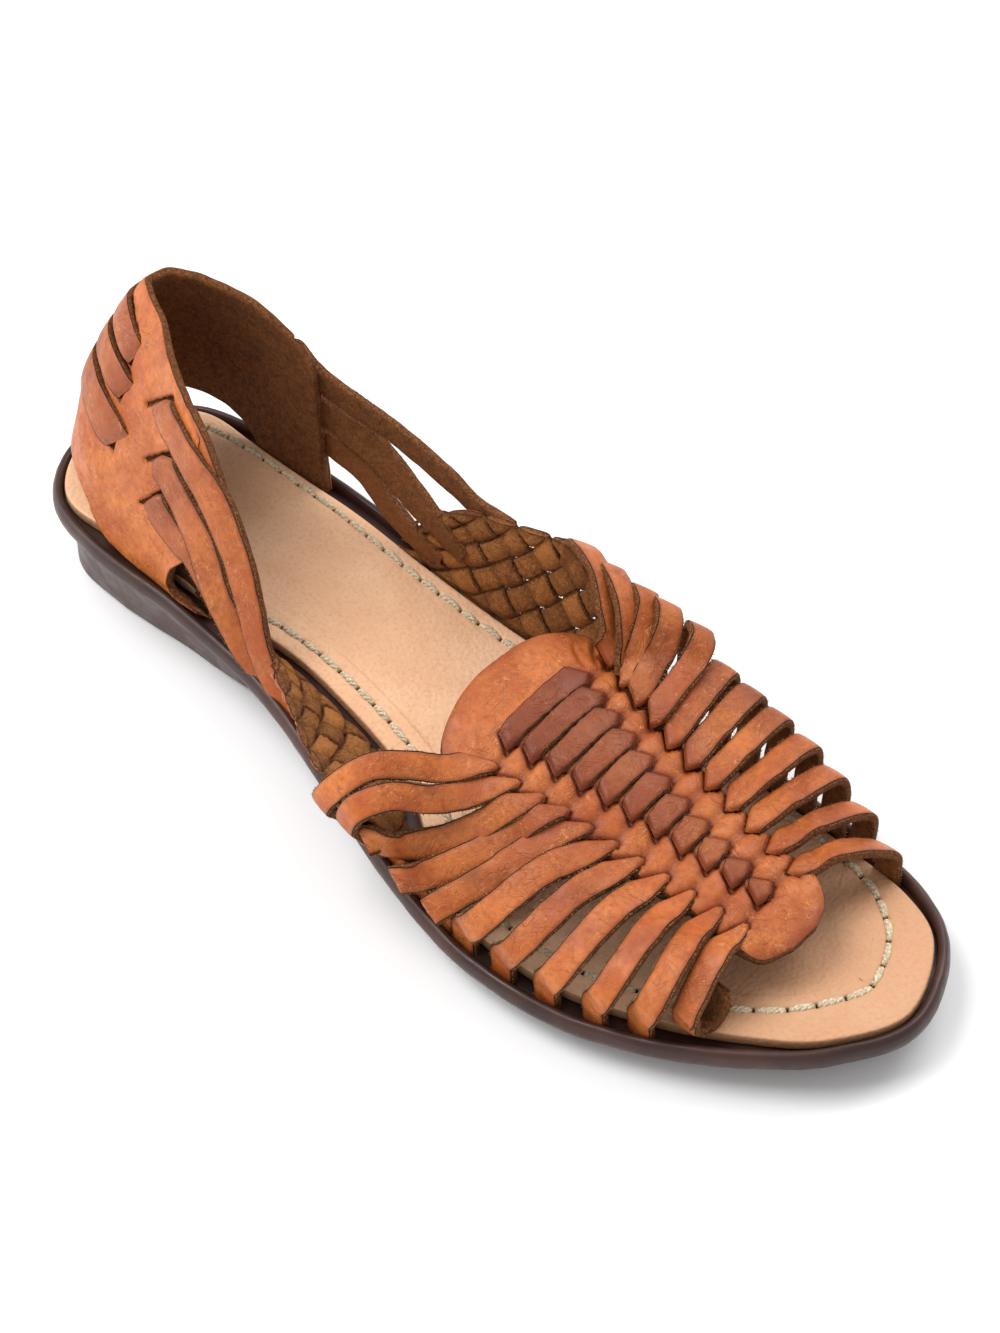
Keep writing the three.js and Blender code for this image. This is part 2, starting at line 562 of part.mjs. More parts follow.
// The counter with its collar strap, or both grown by a clearance.
function heelCounter(clearance = 0) {
  const thickness = COUNTER_THICK + 2 * clearance;
  const rows = Array.from({ length: COUNTER_COLUMNS + 1 }, (_, i) => {
    const u = i / COUNTER_COLUMNS;
    const lowest = column(counterStations, "lift", u, "u") / (column(counterStations, "collarZ", u, "u") - 22);
    return Array.from({ length: COUNTER_ROWS + 1 }, (_, j) =>
      counterPoint(u, THREE.MathUtils.lerp(lowest, 1, j / COUNTER_ROWS)),
    );
  });
  const collarStrap = COLLAR_STRAP.map((row) => ({ ...row, width: row.width + 2.4 * clearance }));
  const tip = collarStrap.at(-1);
  Object.assign(tip, { x: tip.x + 1.6 * clearance, y: tip.y - 0.6 * clearance, z: tip.z - clearance });
  const wall = shellSolid(rows, thickness);
  return wall.add(heelStrap(collarStrap, 0, STRAP_THICK + 2 * clearance)).simplify(SLIVER);
}

// ---- Assembly ----------------------------------------------------------------------------------------------

function mesh(name, solid, roughness) {
  const made = solid.getMesh();
  const geometry = new THREE.BufferGeometry();
  geometry.setAttribute("position", new THREE.BufferAttribute(new Float32Array(made.vertProperties), 3));
  geometry.setIndex(new THREE.BufferAttribute(new Uint32Array(made.triVerts), 1));
  geometry.computeVertexNormals();
  const material = new THREE.MeshStandardMaterial({ color: COLORS[name], roughness, metalness: 0 });
  const node = new THREE.Mesh(geometry, material);
  node.name = name;
  return node;
}

const shoe = new THREE.Group();
shoe.add(
  mesh("outsole", outsole(), 0.45),
  mesh("footbed", footbed(), 0.7),
  mesh("upper", upper(), 0.55),
  mesh("heel_counter", heelCounter(), 0.6),
);

// Centre the shoe over its own base.
const box = new THREE.Box3().setFromObject(shoe);
const middle = box.getCenter(new THREE.Vector3());
shoe.position.set(-middle.x, -middle.y, -box.min.z);

const part = new THREE.Group();
part.add(shoe);

export default part;
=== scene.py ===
# Huarache sandal, right shoe: the looks built round the imported part. Lengths in the tables are millimetres
# in the shoe's own frame: origin at the back of the heel on the floor, +X to the toe, +Y to the medial side
# and +Z up. Its places were measured on the photograph and rounded.
import math

import bpy
import numpy as np
from mathutils import Matrix, Vector


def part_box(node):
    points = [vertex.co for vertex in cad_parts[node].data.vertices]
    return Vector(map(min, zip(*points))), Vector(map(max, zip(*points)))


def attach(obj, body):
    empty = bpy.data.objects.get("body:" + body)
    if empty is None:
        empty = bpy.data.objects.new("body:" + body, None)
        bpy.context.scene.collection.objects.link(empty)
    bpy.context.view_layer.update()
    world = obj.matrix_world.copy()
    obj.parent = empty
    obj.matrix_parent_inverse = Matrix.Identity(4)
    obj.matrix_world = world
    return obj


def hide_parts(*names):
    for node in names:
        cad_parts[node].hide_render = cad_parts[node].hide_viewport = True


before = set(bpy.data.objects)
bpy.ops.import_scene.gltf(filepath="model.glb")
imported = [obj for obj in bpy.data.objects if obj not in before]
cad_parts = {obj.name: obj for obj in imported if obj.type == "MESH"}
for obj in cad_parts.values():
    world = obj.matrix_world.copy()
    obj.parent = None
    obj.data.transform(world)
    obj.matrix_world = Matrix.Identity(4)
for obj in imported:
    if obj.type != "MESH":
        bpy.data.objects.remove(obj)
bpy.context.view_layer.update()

# ---- Sizes ---------------------------------------------------------------------------------------------------

# These are the part's own sizes, except that the footbed reaches a little nearer the rim at the heel and toe,
# and the centre piece is a little wider.


def table(names, rows):
    return dict(zip(names.split(), np.array(rows, float).T))


LENGTH = 255.0
GAP = 0.3
PLATFORM_DROP = 2.8
FOOTBED_RISE = 0.5
RIM_INSET = 2.7
SLOT_INSET = 4.5
STRAP_WIDTH = 6.2
STRAP_THICK = 2.0
COUNTER_THICK = 2.4
COUNTER_BELLY = 5.5
PLUG_FALL = 0.008
HEEL_Y = 0.5
TOE_Y = 4.0

SOLE = table(
    "x lateral medial rim under wall",
    [
        (3.5, 11.5, 12.5, 25.0, 0.8, 2.0),
        (14, 22.5, 23.5, 24.8, 0.0, 3.0),
        (32, 27.0, 28.5, 24.3, 0.0, 5.0),
        (62, 26.5, 30.0, 22.6, 0.0, 6.0),
        (92, 27.8, 30.5, 19.3, 3.6, 6.0),
        (122, 34.2, 32.5, 14.6, 2.8, 5.5),
        (150, 41.5, 35.5, 11.8, 0.0, 5.0),
        (174, 45.0, 37.5, 10.7, 0.0, 5.0),
        (196, 43.0, 38.0, 10.4, 0.0, 5.0),
        (216, 35.8, 36.8, 11.0, 0.7, 5.0),
        (234, 24.8, 33.0, 12.2, 2.6, 5.0),
        (247, 13.0, 24.5, 13.3, 4.4, 5.0),
    ],
)
FOOTBED = table(
    "x lateral medial",
    [
        (0, 3.2, 3.2),
        (24, 3.4, 3.4),
        (33, 7.2, 6.9),
        (66, 7.2, 6.6),
        (72, 8.0, 5.0),
        (78, 9.0, 6.2),
        (88, 11.8, 6.4),
        (108, 14.4, 6.4),
        (124, 17.0, 6.4),
        (136, 15.0, 6.4),
        (152, 9.4, 6.4),
        (166, 6.4, 6.4),
        (208, 6.4, 6.4),
        (228, 5.4, 5.4),
        (245, 3.6, 3.6),
        (255, 3.2, 3.2),
    ],
)
# The stitch line's distance in from the outline.
STITCH = table(
    "x lateral medial",
    [
        (0, 8.4, 8.4),
        (14, 8.6, 8.0),
        (26, 9.4, 8.0),
        (40, 9.8, 9.2),
        (74, 12.6, 9.0),
        (85, 15.0, 9.6),
        (96, 17.8, 10.2),
        (108, 19.8, 10.2),
        (130, 22.0, 10.2),
        (148, 17.0, 10.2),
        (168, 12.4, 10.0),
        (205, 12.2, 9.0),
        (222, 12.4, 9.2),
        (234, 11.4, 11.0),
        (241, 12.2, 12.4),
        (255, 13.2, 13.2),
    ],
)
PLUG = table(
    "x lateral medial crown",
    [
        (141.5, -4.0, 6.0, 41.6),
        (143.5, -14.0, 15.0, 41.6),
        (147.5, -22.0, 20.5, 41.2),
        (152.5, -25.0, 22.0, 40.6),
        (159, -23.5, 20.0, 39.2),
        (170, -20.5, 18.5, 36.6),
        (182, -17.0, 15.5, 33.3),
        (196, -14.6, 13.8, 29.8),
        (210, -12.8, 12.6, 27.2),
        (220, -13.0, 12.0, 25.8),
        (226, -11.0, 8.5, 25.0),
        (229, -4.5, 2.5, 24.6),
    ],
)
LATERAL_BRAID = table(
    "x topX topY topZ inset",
    [
        (88, 97, -25.0, 27.5, 9.4),
        (98, 105, -29.0, 29.5, 10.8),
        (110, 115, -34.0, 30.5, 12.6),
        (122, 125, -39.0, 31.5, 14.4),
        (134, 135, -42.5, 33.5, 13.2),
        (146, 145, -44.0, 31.0, 8.6),
    ],
)
MEDIAL_BRAID = table(
    "x topX topY topZ inset",
    [
        (83, 86, 26.6, 26.0, 4.6),
        (90, 96, 27.6, 36.0, 4.6),
        (102, 109, 28.8, 42.5, 4.6),
        (116, 121, 30.8, 44.5, 4.6),
        (132, 134, 33.2, 45.5, 4.6),
        (148, 147, 32.7, 45.5, 4.6),
        (158, 157, 32.8, 41.0, 4.6),
    ],
)
COUNTER = table(
    "footX footY collarX collarY collarZ lift",
    [
        (66, -21.9, 66, -12.0, 66.5, 0),
        (54, -22.1, 57, -8.6, 72.0, 0),
        (42, -22.2, 48, -4.3, 74.8, 0),
        (30, -21.6, 39, 1.0, 77.0, 6.5),
        (18, -18.4, 31, 4.6, 78.2, 10.5),
        (9.5, -11.0, 26.5, 7.8, 78.5, 12.5),
        (6.0, 0.5, 27, 12.0, 78.4, 13.0),
        (9.5, 12.0, 31.5, 15.6, 77.8, 12.5),
        (18, 19.6, 38, 18.6, 76.2, 10.5),
        (29, 23.2, 45, 21.0, 74.4, 6.0),
        (39, 24.3, 51, 22.8, 70.6, 0),
        (49, 24.9, 56, 24.2, 65.6, 0),
        (59, 25.2, 60, 25.2, 58.0, 0),
    ],
)
COUNTER["u"] = np.linspace(0, 1, 13)

# ---- Curves --------------------------------------------------------------------------------------------------


def column(rows, name, x, key="x"):
    """Smooth value of one column of a table at x, kept to the range of the rows on each side."""
    k, v = rows[key], rows[name]
    rise = np.diff(v) / np.diff(k)
    a, b = rise[:-1], rise[1:]
    total = np.where(a + b == 0, 1, a + b)
    slope = np.concatenate([[rise[0]], np.where(a * b <= 0, 0, 2 * a * b / total), [rise[-1]]])
    x = np.clip(x, k[0], k[-1])
    i = np.clip(np.searchsorted(k, x, side="right") - 1, 0, len(k) - 2)
    span = k[i + 1] - k[i]
    t = (x - k[i]) / span
    t2, t3 = t * t, t * t * t
    ends = (2 * t3 - 3 * t2 + 1) * v[i] + (3 * t2 - 2 * t3) * v[i + 1]
    return ends + ((t3 - 2 * t2 + t) * slope[i] + (t3 - t2) * slope[i + 1]) * span


def catmull(points, t, closed=False):
    """Centripetal Catmull-Rom curve through the points, at t from 0 to 1."""
    p = np.asarray(points, float)
    t = np.atleast_1d(np.asarray(t, float))
    n = len(p)
    if closed:
        s = (t % 1) * n
        i = np.floor(s).astype(int) % n
        f = (s - np.floor(s))[:, None]
        a, b, c, d = (p[(i + k) % n] for k in (-1, 0, 1, 2))
    else:
        s = t * (n - 1)
        i = np.clip(np.floor(s).astype(int), 0, n - 2)
        f = (s - i)[:, None]
        more = np.vstack([2 * p[0] - p[1], p, 2 * p[-1] - p[-2]])
        a, b, c, d = (more[i + k] for k in range(4))
    root = lambda u, v: np.maximum(((v - u) ** 2).sum(1), 1e-12)[:, None] ** 0.25
    d0, d1, d2 = root(a, b), root(b, c), root(c, d)
    m1 = ((b - a) / d0 - (c - a) / (d0 + d1) + (c - b) / d1) * d1
    m2 = ((c - b) / d1 - (d - b) / (d1 + d2) + (d - c) / d2) * d1
    f2, f3 = f * f, f * f * f
    return (2 * f3 - 3 * f2 + 1) * b + (f3 - 2 * f2 + f) * m1 + (3 * f2 - 2 * f3) * c + (f3 - f2) * m2


OUTLINE = np.array(
    [(0, HEEL_Y, 0)]
    + [(x, -w, 0) for x, w in zip(SOLE["x"], SOLE["lateral"])]
    + [(LENGTH, TOE_Y, 0)]
    + [(x, w, 0) for x, w in zip(SOLE["x"][::-1], SOLE["medial"][::-1])]
)


def outline(t, inset=0.0):
    """Outline points at t (0 heel, 0.5 toe, lateral side first), moved in by a distance. Z is 0."""
    t = np.atleast_1d(np.asarray(t, float))
    d = catmull(OUTLINE, t + 1e-4, True) - catmull(OUTLINE, t - 1e-4, True)
    d /= np.linalg.norm(d, axis=1)[:, None]
    inward = np.stack([-d[:, 1], d[:, 0], 0 * d[:, 0]], 1)
    return catmull(OUTLINE, t, True) + inward * np.broadcast_to(inset, t.shape)[:, None]


def side_point(x, side, inset):
    """Point on the lateral (-1) or medial (+1) side at x, moved in by a distance."""
    x = np.atleast_1d(np.asarray(x, float))
    low = np.full(x.shape, 0.0 if side < 0 else 1.0)
    high = np.full(x.shape, 0.5)
    inset = np.broadcast_to(inset, x.shape)
    for _ in range(22):
        mid = (low + high) / 2
        short = outline(mid, inset)[:, 0] < x
        low, high = np.where(short, mid, low), np.where(short, high, mid)
    return outline((low + high) / 2, inset)


def rim_z(x):
    return column(SOLE, "rim", x)


def under_z(x):
    return np.where(x > SOLE["x"][-1], 4.4 + 0.14 * (x - SOLE["x"][-1]), column(SOLE, "under", x))


def seat_z(x):
    return rim_z(x) - PLATFORM_DROP


def unit(v):
    return v / np.maximum(np.linalg.norm(v, axis=-1, keepdims=True), 1e-9)


def smooth(x, low=0.0, high=1.0):
    t = np.clip((x - low) / (high - low), 0, 1)
    return t * t * (3 - 2 * t)


def hill(x, width):
    return np.exp(-((x / width) ** 2))


def wobble(p, size, seed):
    """Soft irregular value of about -1 to 1 at points p, with features of about that size."""
    rng = np.random.default_rng(seed)
    total = 0
    for _ in range(6):
        d = rng.normal(size=3)
        d /= np.linalg.norm(d)
        total = total + np.sin(p @ d * (2 * math.pi / size) * rng.uniform(0.7, 1.4) + rng.uniform(0, 6.28))
    return total / 2.6


# The part's frame is the shoe's own frame moved by this much.
_dense = outline(np.linspace(0, 1, 4000, endpoint=False))
SHIFT = np.array(
    [
        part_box("outsole")[0].x * 1000 - _dense[:, 0].min(),
        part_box("outsole")[0].y * 1000 - _dense[:, 1].min(),
        0.0,
    ]
)


def place(points):
    """Shoe points in millimetres to the part's frame in metres."""
    return (np.asarray(points, float) + SHIFT) * 0.001


# ---- Meshes --------------------------------------------------------------------------------------------------

# each piece's darkening value is partly burnish and partly painted shade in slits, gaps and crossings
SHADES = ("side", "burn", "tone", "mark")


class Piece:
    """Collects patches of vertices and faces with their shading values, and makes one mesh of them."""

    def __init__(self, name):
        self.name, self.count = name, 0
        self.points, self.faces = [], []
        self.values = {k: [] for k in SHADES}

    def add(self, points, faces, **values):
        points = np.asarray(points, float).reshape(-1, 3)
        self.points.append(points)
        for face in faces:
            self.faces.append(tuple(int(i) + self.count for i in face))
        for k in SHADES:
            v = values.get(k, 1.0 if k == "side" else 0.0)
            self.values[k].append(np.broadcast_to(np.asarray(v, float).reshape(-1), (len(points),)))
        self.count += len(points)

    def build(self, material, slot, stands_for=None):
        mesh = bpy.data.meshes.new(self.name)
        mesh.from_pydata(place(np.vstack(self.points)).tolist(), [], self.faces)
        for k in SHADES:
            layer = mesh.attributes.new(k, "FLOAT", "POINT")
            layer.data.foreach_set("value", np.concatenate(self.values[k]).astype(np.float32))
        mesh.polygons.foreach_set("use_smooth", np.ones(len(mesh.polygons), bool))
        mesh.materials.append(material)
        mesh.update()
        made = bpy.data.objects.new(self.name, mesh)
        bpy.context.scene.collection.objects.link(made)
        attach(made, "root")
        if stands_for:
            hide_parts(stands_for)
        return made


def grid_faces(rows, cols, start=0, wrap=False, flip=False):
    """Quads of a rows by cols grid of points, closed along the columns if wrap is set."""
    i = np.arange(rows - 1)[:, None]
    j = np.arange(cols if wrap else cols - 1)[None, :]
    k = (j + 1) % cols
    quad = np.stack([i * cols + j, i * cols + k, (i + 1) * cols + k, (i + 1) * cols + j], -1)
    quad = quad.reshape(-1, 4) + start
    return quad[:, ::-1] if flip else quad


def cap_faces(count, start, flip):
    """Strip that closes a ring of points from one of its long sides to the other."""
    made = []
    for i in range((count - 1) // 2):
        face = [i, i + 1, count - 2 - i, count - 1 - i]
        face = list(dict.fromkeys(face))
        if len(face) > 2:
            made.append([start + f for f in (face[::-1] if flip else face)])
    return made


def strap_faces(rows, n, flip=False):
    """Faces of a strap of that many rows of n points, closed at both ends."""
    faces = list(grid_faces(rows, n, wrap=True, flip=flip))
    return faces + cap_faces(n, 0, flip) + cap_faces(n, (rows - 1) * n, not flip)


def perimeter(rows, cols):
    """Indices of the points round the outside of a rows by cols grid."""
    near = list(range(cols)) + [i * cols + cols - 1 for i in range(1, rows)]
    far = [(rows - 1) * cols + j for j in range(cols - 2, -1, -1)]
    return near + far + [i * cols for i in range(rows - 2, 0, -1)]


# Cross-section of a strap, round it from the top left: place across (-1 to 1), height (-1 to 1), and which
# side of the leather it is (1 grain, 0 cut edge, -1 suede).
SECTION = np.array(
    [
        (-0.88, 0.97, 1.0),
        (-0.62, 1.06, 1.0),
        (-0.32, 1.1, 1.0),
        (0.0, 1.12, 1.0),
        (0.32, 1.1, 1.0),
        (0.62, 1.06, 1.0),
        (0.88, 0.97, 1.0),
        (0.97, 0.84, 0.55),
        (1.0, 0.6, 0.0),
        (1.01, -0.1, 0.0),
        (0.98, -0.8, -0.1),
        (0.86, -1.0, -1.0),
        (0.3, -1.03, -1.0),
        (-0.3, -1.03, -1.0),
        (-0.86, -1.0, -1.0),
        (-0.98, -0.8, -0.1),
        (-1.01, -0.1, 0.0),
        (-1.0, 0.6, 0.0),
        (-0.97, 0.84, 0.55),
    ]
)


# How far a strap's edges wander.
RUFFLE = 0.12


def ribbon(piece, line, normals, widths, thick=STRAP_THICK, rows=70, start=None, lift=None, burn=None,
           tone=0.0, seed=0, flesh_up=False):
    """Flat leather strap along a dense line. start gives how far in it begins at each place across, lift
    moves it along its normal by the distance from its start, and the darkening value is a function of that
    distance too: partly burnish, partly painted shade."""
    line, normals = np.asarray(line, float), unit(np.asarray(normals, float))
    step = np.linalg.norm(np.diff(line, axis=0), axis=1)
    s = np.concatenate([[0], np.cumsum(step)])
    across = unit(np.cross(np.gradient(line, axis=0), normals))
    normals = unit(np.cross(across, np.gradient(line, axis=0)))
    a, h, side = SECTION.T
    first = np.zeros(len(a)) if start is None else start(a)
    last = np.full(len(a), s[-1])
    r = np.linspace(0, 1, rows)[:, None] ** 1.3
    at = first[None, :] + (last - first)[None, :] * r
    pick = lambda values: np.stack([np.interp(at, s, values[:, k]) for k in range(3)], -1)
    base, out, over = pick(line), unit(pick(normals)), unit(pick(across))
    width = np.interp(at, s, widths)
    edge = np.abs(a) > 0.8
    rough = wobble(base, 2.2, seed) * 0.6 + wobble(base, 7.0, seed + 1)
    reach = a[None, :] * width / 2 + np.sign(a)[None, :] * edge[None, :] * RUFFLE * rough * 0.5
    up = h[None, :] * thick / 2 * (1 + 0.05 * wobble(base, 5.0, seed + 2))
    up = up + 0.07 * wobble(base, 9.0, seed + 3)
    if lift is not None:
        up = up + lift(at - first[None, :])
    points = base + over * reach[..., None] + out * up[..., None]
    shade = np.broadcast_to(-side if flesh_up else side, at.shape)
    dark = np.zeros(at.shape) if burn is None else burn(at - first[None, :])
    mark = np.broadcast_to(a, at.shape)
    piece.add(points, strap_faces(rows, len(a)), side=shade, burn=dark, tone=tone, mark=mark)
    add_fibres(piece, points, over, out, seed)
    return points


def add_fibres(piece, points, over, out, seed, spacing=0.75):
    """Small flakes of fibre along both upper edges of a strap."""
    rng = np.random.default_rng(seed + 500)
    made, faces = [], []
    for column_index, way in ((8, 1.0), (17, -1.0)):
        edge = points[:, column_index]
        s = np.concatenate([[0], np.cumsum(np.linalg.norm(np.diff(edge, axis=0), axis=1))])
        count = int(s[-1] / spacing)
        at = rng.uniform(1.5, s[-1], count)
        here = np.stack([np.interp(at, s, edge[:, k]) for k in range(3)], 1)
        sideways = np.stack([np.interp(at, s, over[:, 9, k]) for k in range(3)], 1) * way
        upward = np.stack([np.interp(at, s, out[:, 9, k]) for k in range(3)], 1)
        forward = np.cross(sideways, upward)
        reach = rng.uniform(0.25, 0.75, (count, 1))
        tip = here + reach * (sideways * 0.8 + upward * rng.uniform(-0.1, 0.7, (count, 1)))
        tip = tip + forward * rng.uniform(-0.5, 0.5, (count, 1))
        wide = forward * rng.uniform(0.08, 0.16, (count, 1))
        low = here - upward * 0.3 - sideways * 0.1
        root = here - sideways * 0.1
        for k in range(count):
            n = len(made)
            made += [root[k] - wide[k], root[k] + wide[k], low[k], tip[k]]
            faces += [(n, n + 1, n + 3), (n + 1, n + 2, n + 3), (n + 2, n, n + 3), (n, n + 2, n + 1)]
    piece.add(made, faces, side=0.0, tone=-1.0)


def stations(rows, per_span=24):
    """Dense line, normals and widths through (x, y, z, nx, ny, nz, width) rows."""
    rows = np.array(rows, float)
    t = np.linspace(0, 1, per_span * (len(rows) - 1) + 1)
    line = catmull(rows[:, :3], t)
    k = t * (len(rows) - 1)
    facing = unit(rows[:, 3:6])
    normals = np.stack([np.interp(k, np.arange(len(rows)), facing[:, i]) for i in range(3)], 1)
    widths = np.interp(k, np.arange(len(rows)), rows[:, 6])
    return line, unit(normals), widths


# ---- Materials -----------------------------------------------------------------------------------------------


class Nodes:
    """Short names for the shader nodes that a material is wired from."""

    def __init__(self, name):
        self.material = bpy.data.materials.new(name)
        self.material.use_nodes = True
        self.tree = self.material.node_tree
        self.shader = self.tree.nodes["Principled BSDF"]
        self.where = self.tree.nodes.new("ShaderNodeTexCoord").outputs["Object"]

    def link(self, value, socket):
        if isinstance(value, bpy.types.NodeSocket):
            self.tree.links.new(value, socket)
        elif isinstance(value, (tuple, list)) and len(value) == 3 and socket.type == "RGBA":
            socket.default_value = (*value, 1)
        else:
            socket.default_value = value

    def attribute(self, name):
        node = self.tree.nodes.new("ShaderNodeAttribute")
        node.attribute_name = name
        return node.outputs["Fac"]

    def math(self, kind, a, b=0.0, c=0.0, clamp=False):
        node = self.tree.nodes.new("ShaderNodeMath")
        node.operation, node.use_clamp = kind, clamp
        for value, socket in zip((a, b, c), node.inputs):
            self.link(value, socket)
        return node.outputs[0]

    def ramp(self, value, low, high, to_low=0.0, to_high=1.0):
        node = self.tree.nodes.new("ShaderNodeMapRange")
        node.interpolation_type = "SMOOTHSTEP"
        self.link(value, node.inputs["Value"])
        ends = {"From Min": low, "From Max": high, "To Min": to_low, "To Max": to_high}
        for socket, v in ends.items():
            self.link(v, node.inputs[socket])
        return node.outputs[0]

    def stretched(self, scale):
        node = self.tree.nodes.new("ShaderNodeMapping")
        self.link(self.where, node.inputs["Vector"])
        node.inputs["Scale"].default_value = scale
        return node.outputs[0]

    def noise(self, size, detail=4.0, rough=0.55, bend=0.0, vector=None):
        """Noise with features of about size millimetres."""
        node = self.tree.nodes.new("ShaderNodeTexNoise")
        self.link(vector if vector is not None else self.where, node.inputs["Vector"])
        node.inputs["Scale"].default_value = 1000.0 / size
        node.inputs["Detail"].default_value = detail
        node.inputs["Roughness"].default_value = rough
        node.inputs["Distortion"].default_value = bend
        return node.outputs[0]

    def cells(self, size, warp=0.0, feature="DISTANCE_TO_EDGE"):
        """Voronoi cells of about size millimetres, with their positions stirred by noise."""
        vector = self.where
        if warp:
            noise = self.tree.nodes.new("ShaderNodeTexNoise")
            self.link(self.where, noise.inputs["Vector"])
            noise.inputs["Scale"].default_value = 1000.0 / (size * 1.6)
            noise.inputs["Detail"].default_value = 3.0
            push = self.tree.nodes.new("ShaderNodeVectorMath")
            push.operation = "MULTIPLY_ADD"
            self.link(noise.outputs["Color"], push.inputs[0])
            push.inputs[1].default_value = (warp * 0.001,) * 3
            self.link(self.where, push.inputs[2])
            vector = push.outputs[0]
        node = self.tree.nodes.new("ShaderNodeTexVoronoi")
        node.feature = feature
        self.link(vector, node.inputs["Vector"])
        node.inputs["Scale"].default_value = 1000.0 / size
        return node.outputs["Distance"]

    def mix(self, factor, a, b):
        node = self.tree.nodes.new("ShaderNodeMix")
        node.data_type = "RGBA"
        self.link(factor, node.inputs[0])
        self.link(a, node.inputs[6])
        self.link(b, node.inputs[7])
        return node.outputs[2]

    def bump(self, height, distance, normal=None):
        node = self.tree.nodes.new("ShaderNodeBump")
        self.link(height, node.inputs["Height"])
        node.inputs["Distance"].default_value = distance * 0.001
        if normal is not None:
            self.link(normal, node.inputs["Normal"])
        return node.outputs[0]

    def finish(self, color, roughness, normal=None, **fixed):
        self.link(color, self.shader.inputs["Base Color"])
        self.link(roughness, self.shader.inputs["Roughness"])
        if normal is not None:
            self.link(normal, self.shader.inputs["Normal"])
        for name, value in fixed.items():
            self.shader.inputs[name.replace("_", " ")].default_value = value
        return self.material


def rgb(r, g, b):
    """Linear colour from display values of 0 to 255."""
    return tuple(((c / 255 + 0.055) / 1.055) ** 2.4 if c > 10 else c / 255 / 12.92 for c in (r, g, b))


def tinted(color, share):
    """Linear colour of display values, each taken to a share of itself."""
    return rgb(*(c * k for c, k in zip(color, share)))


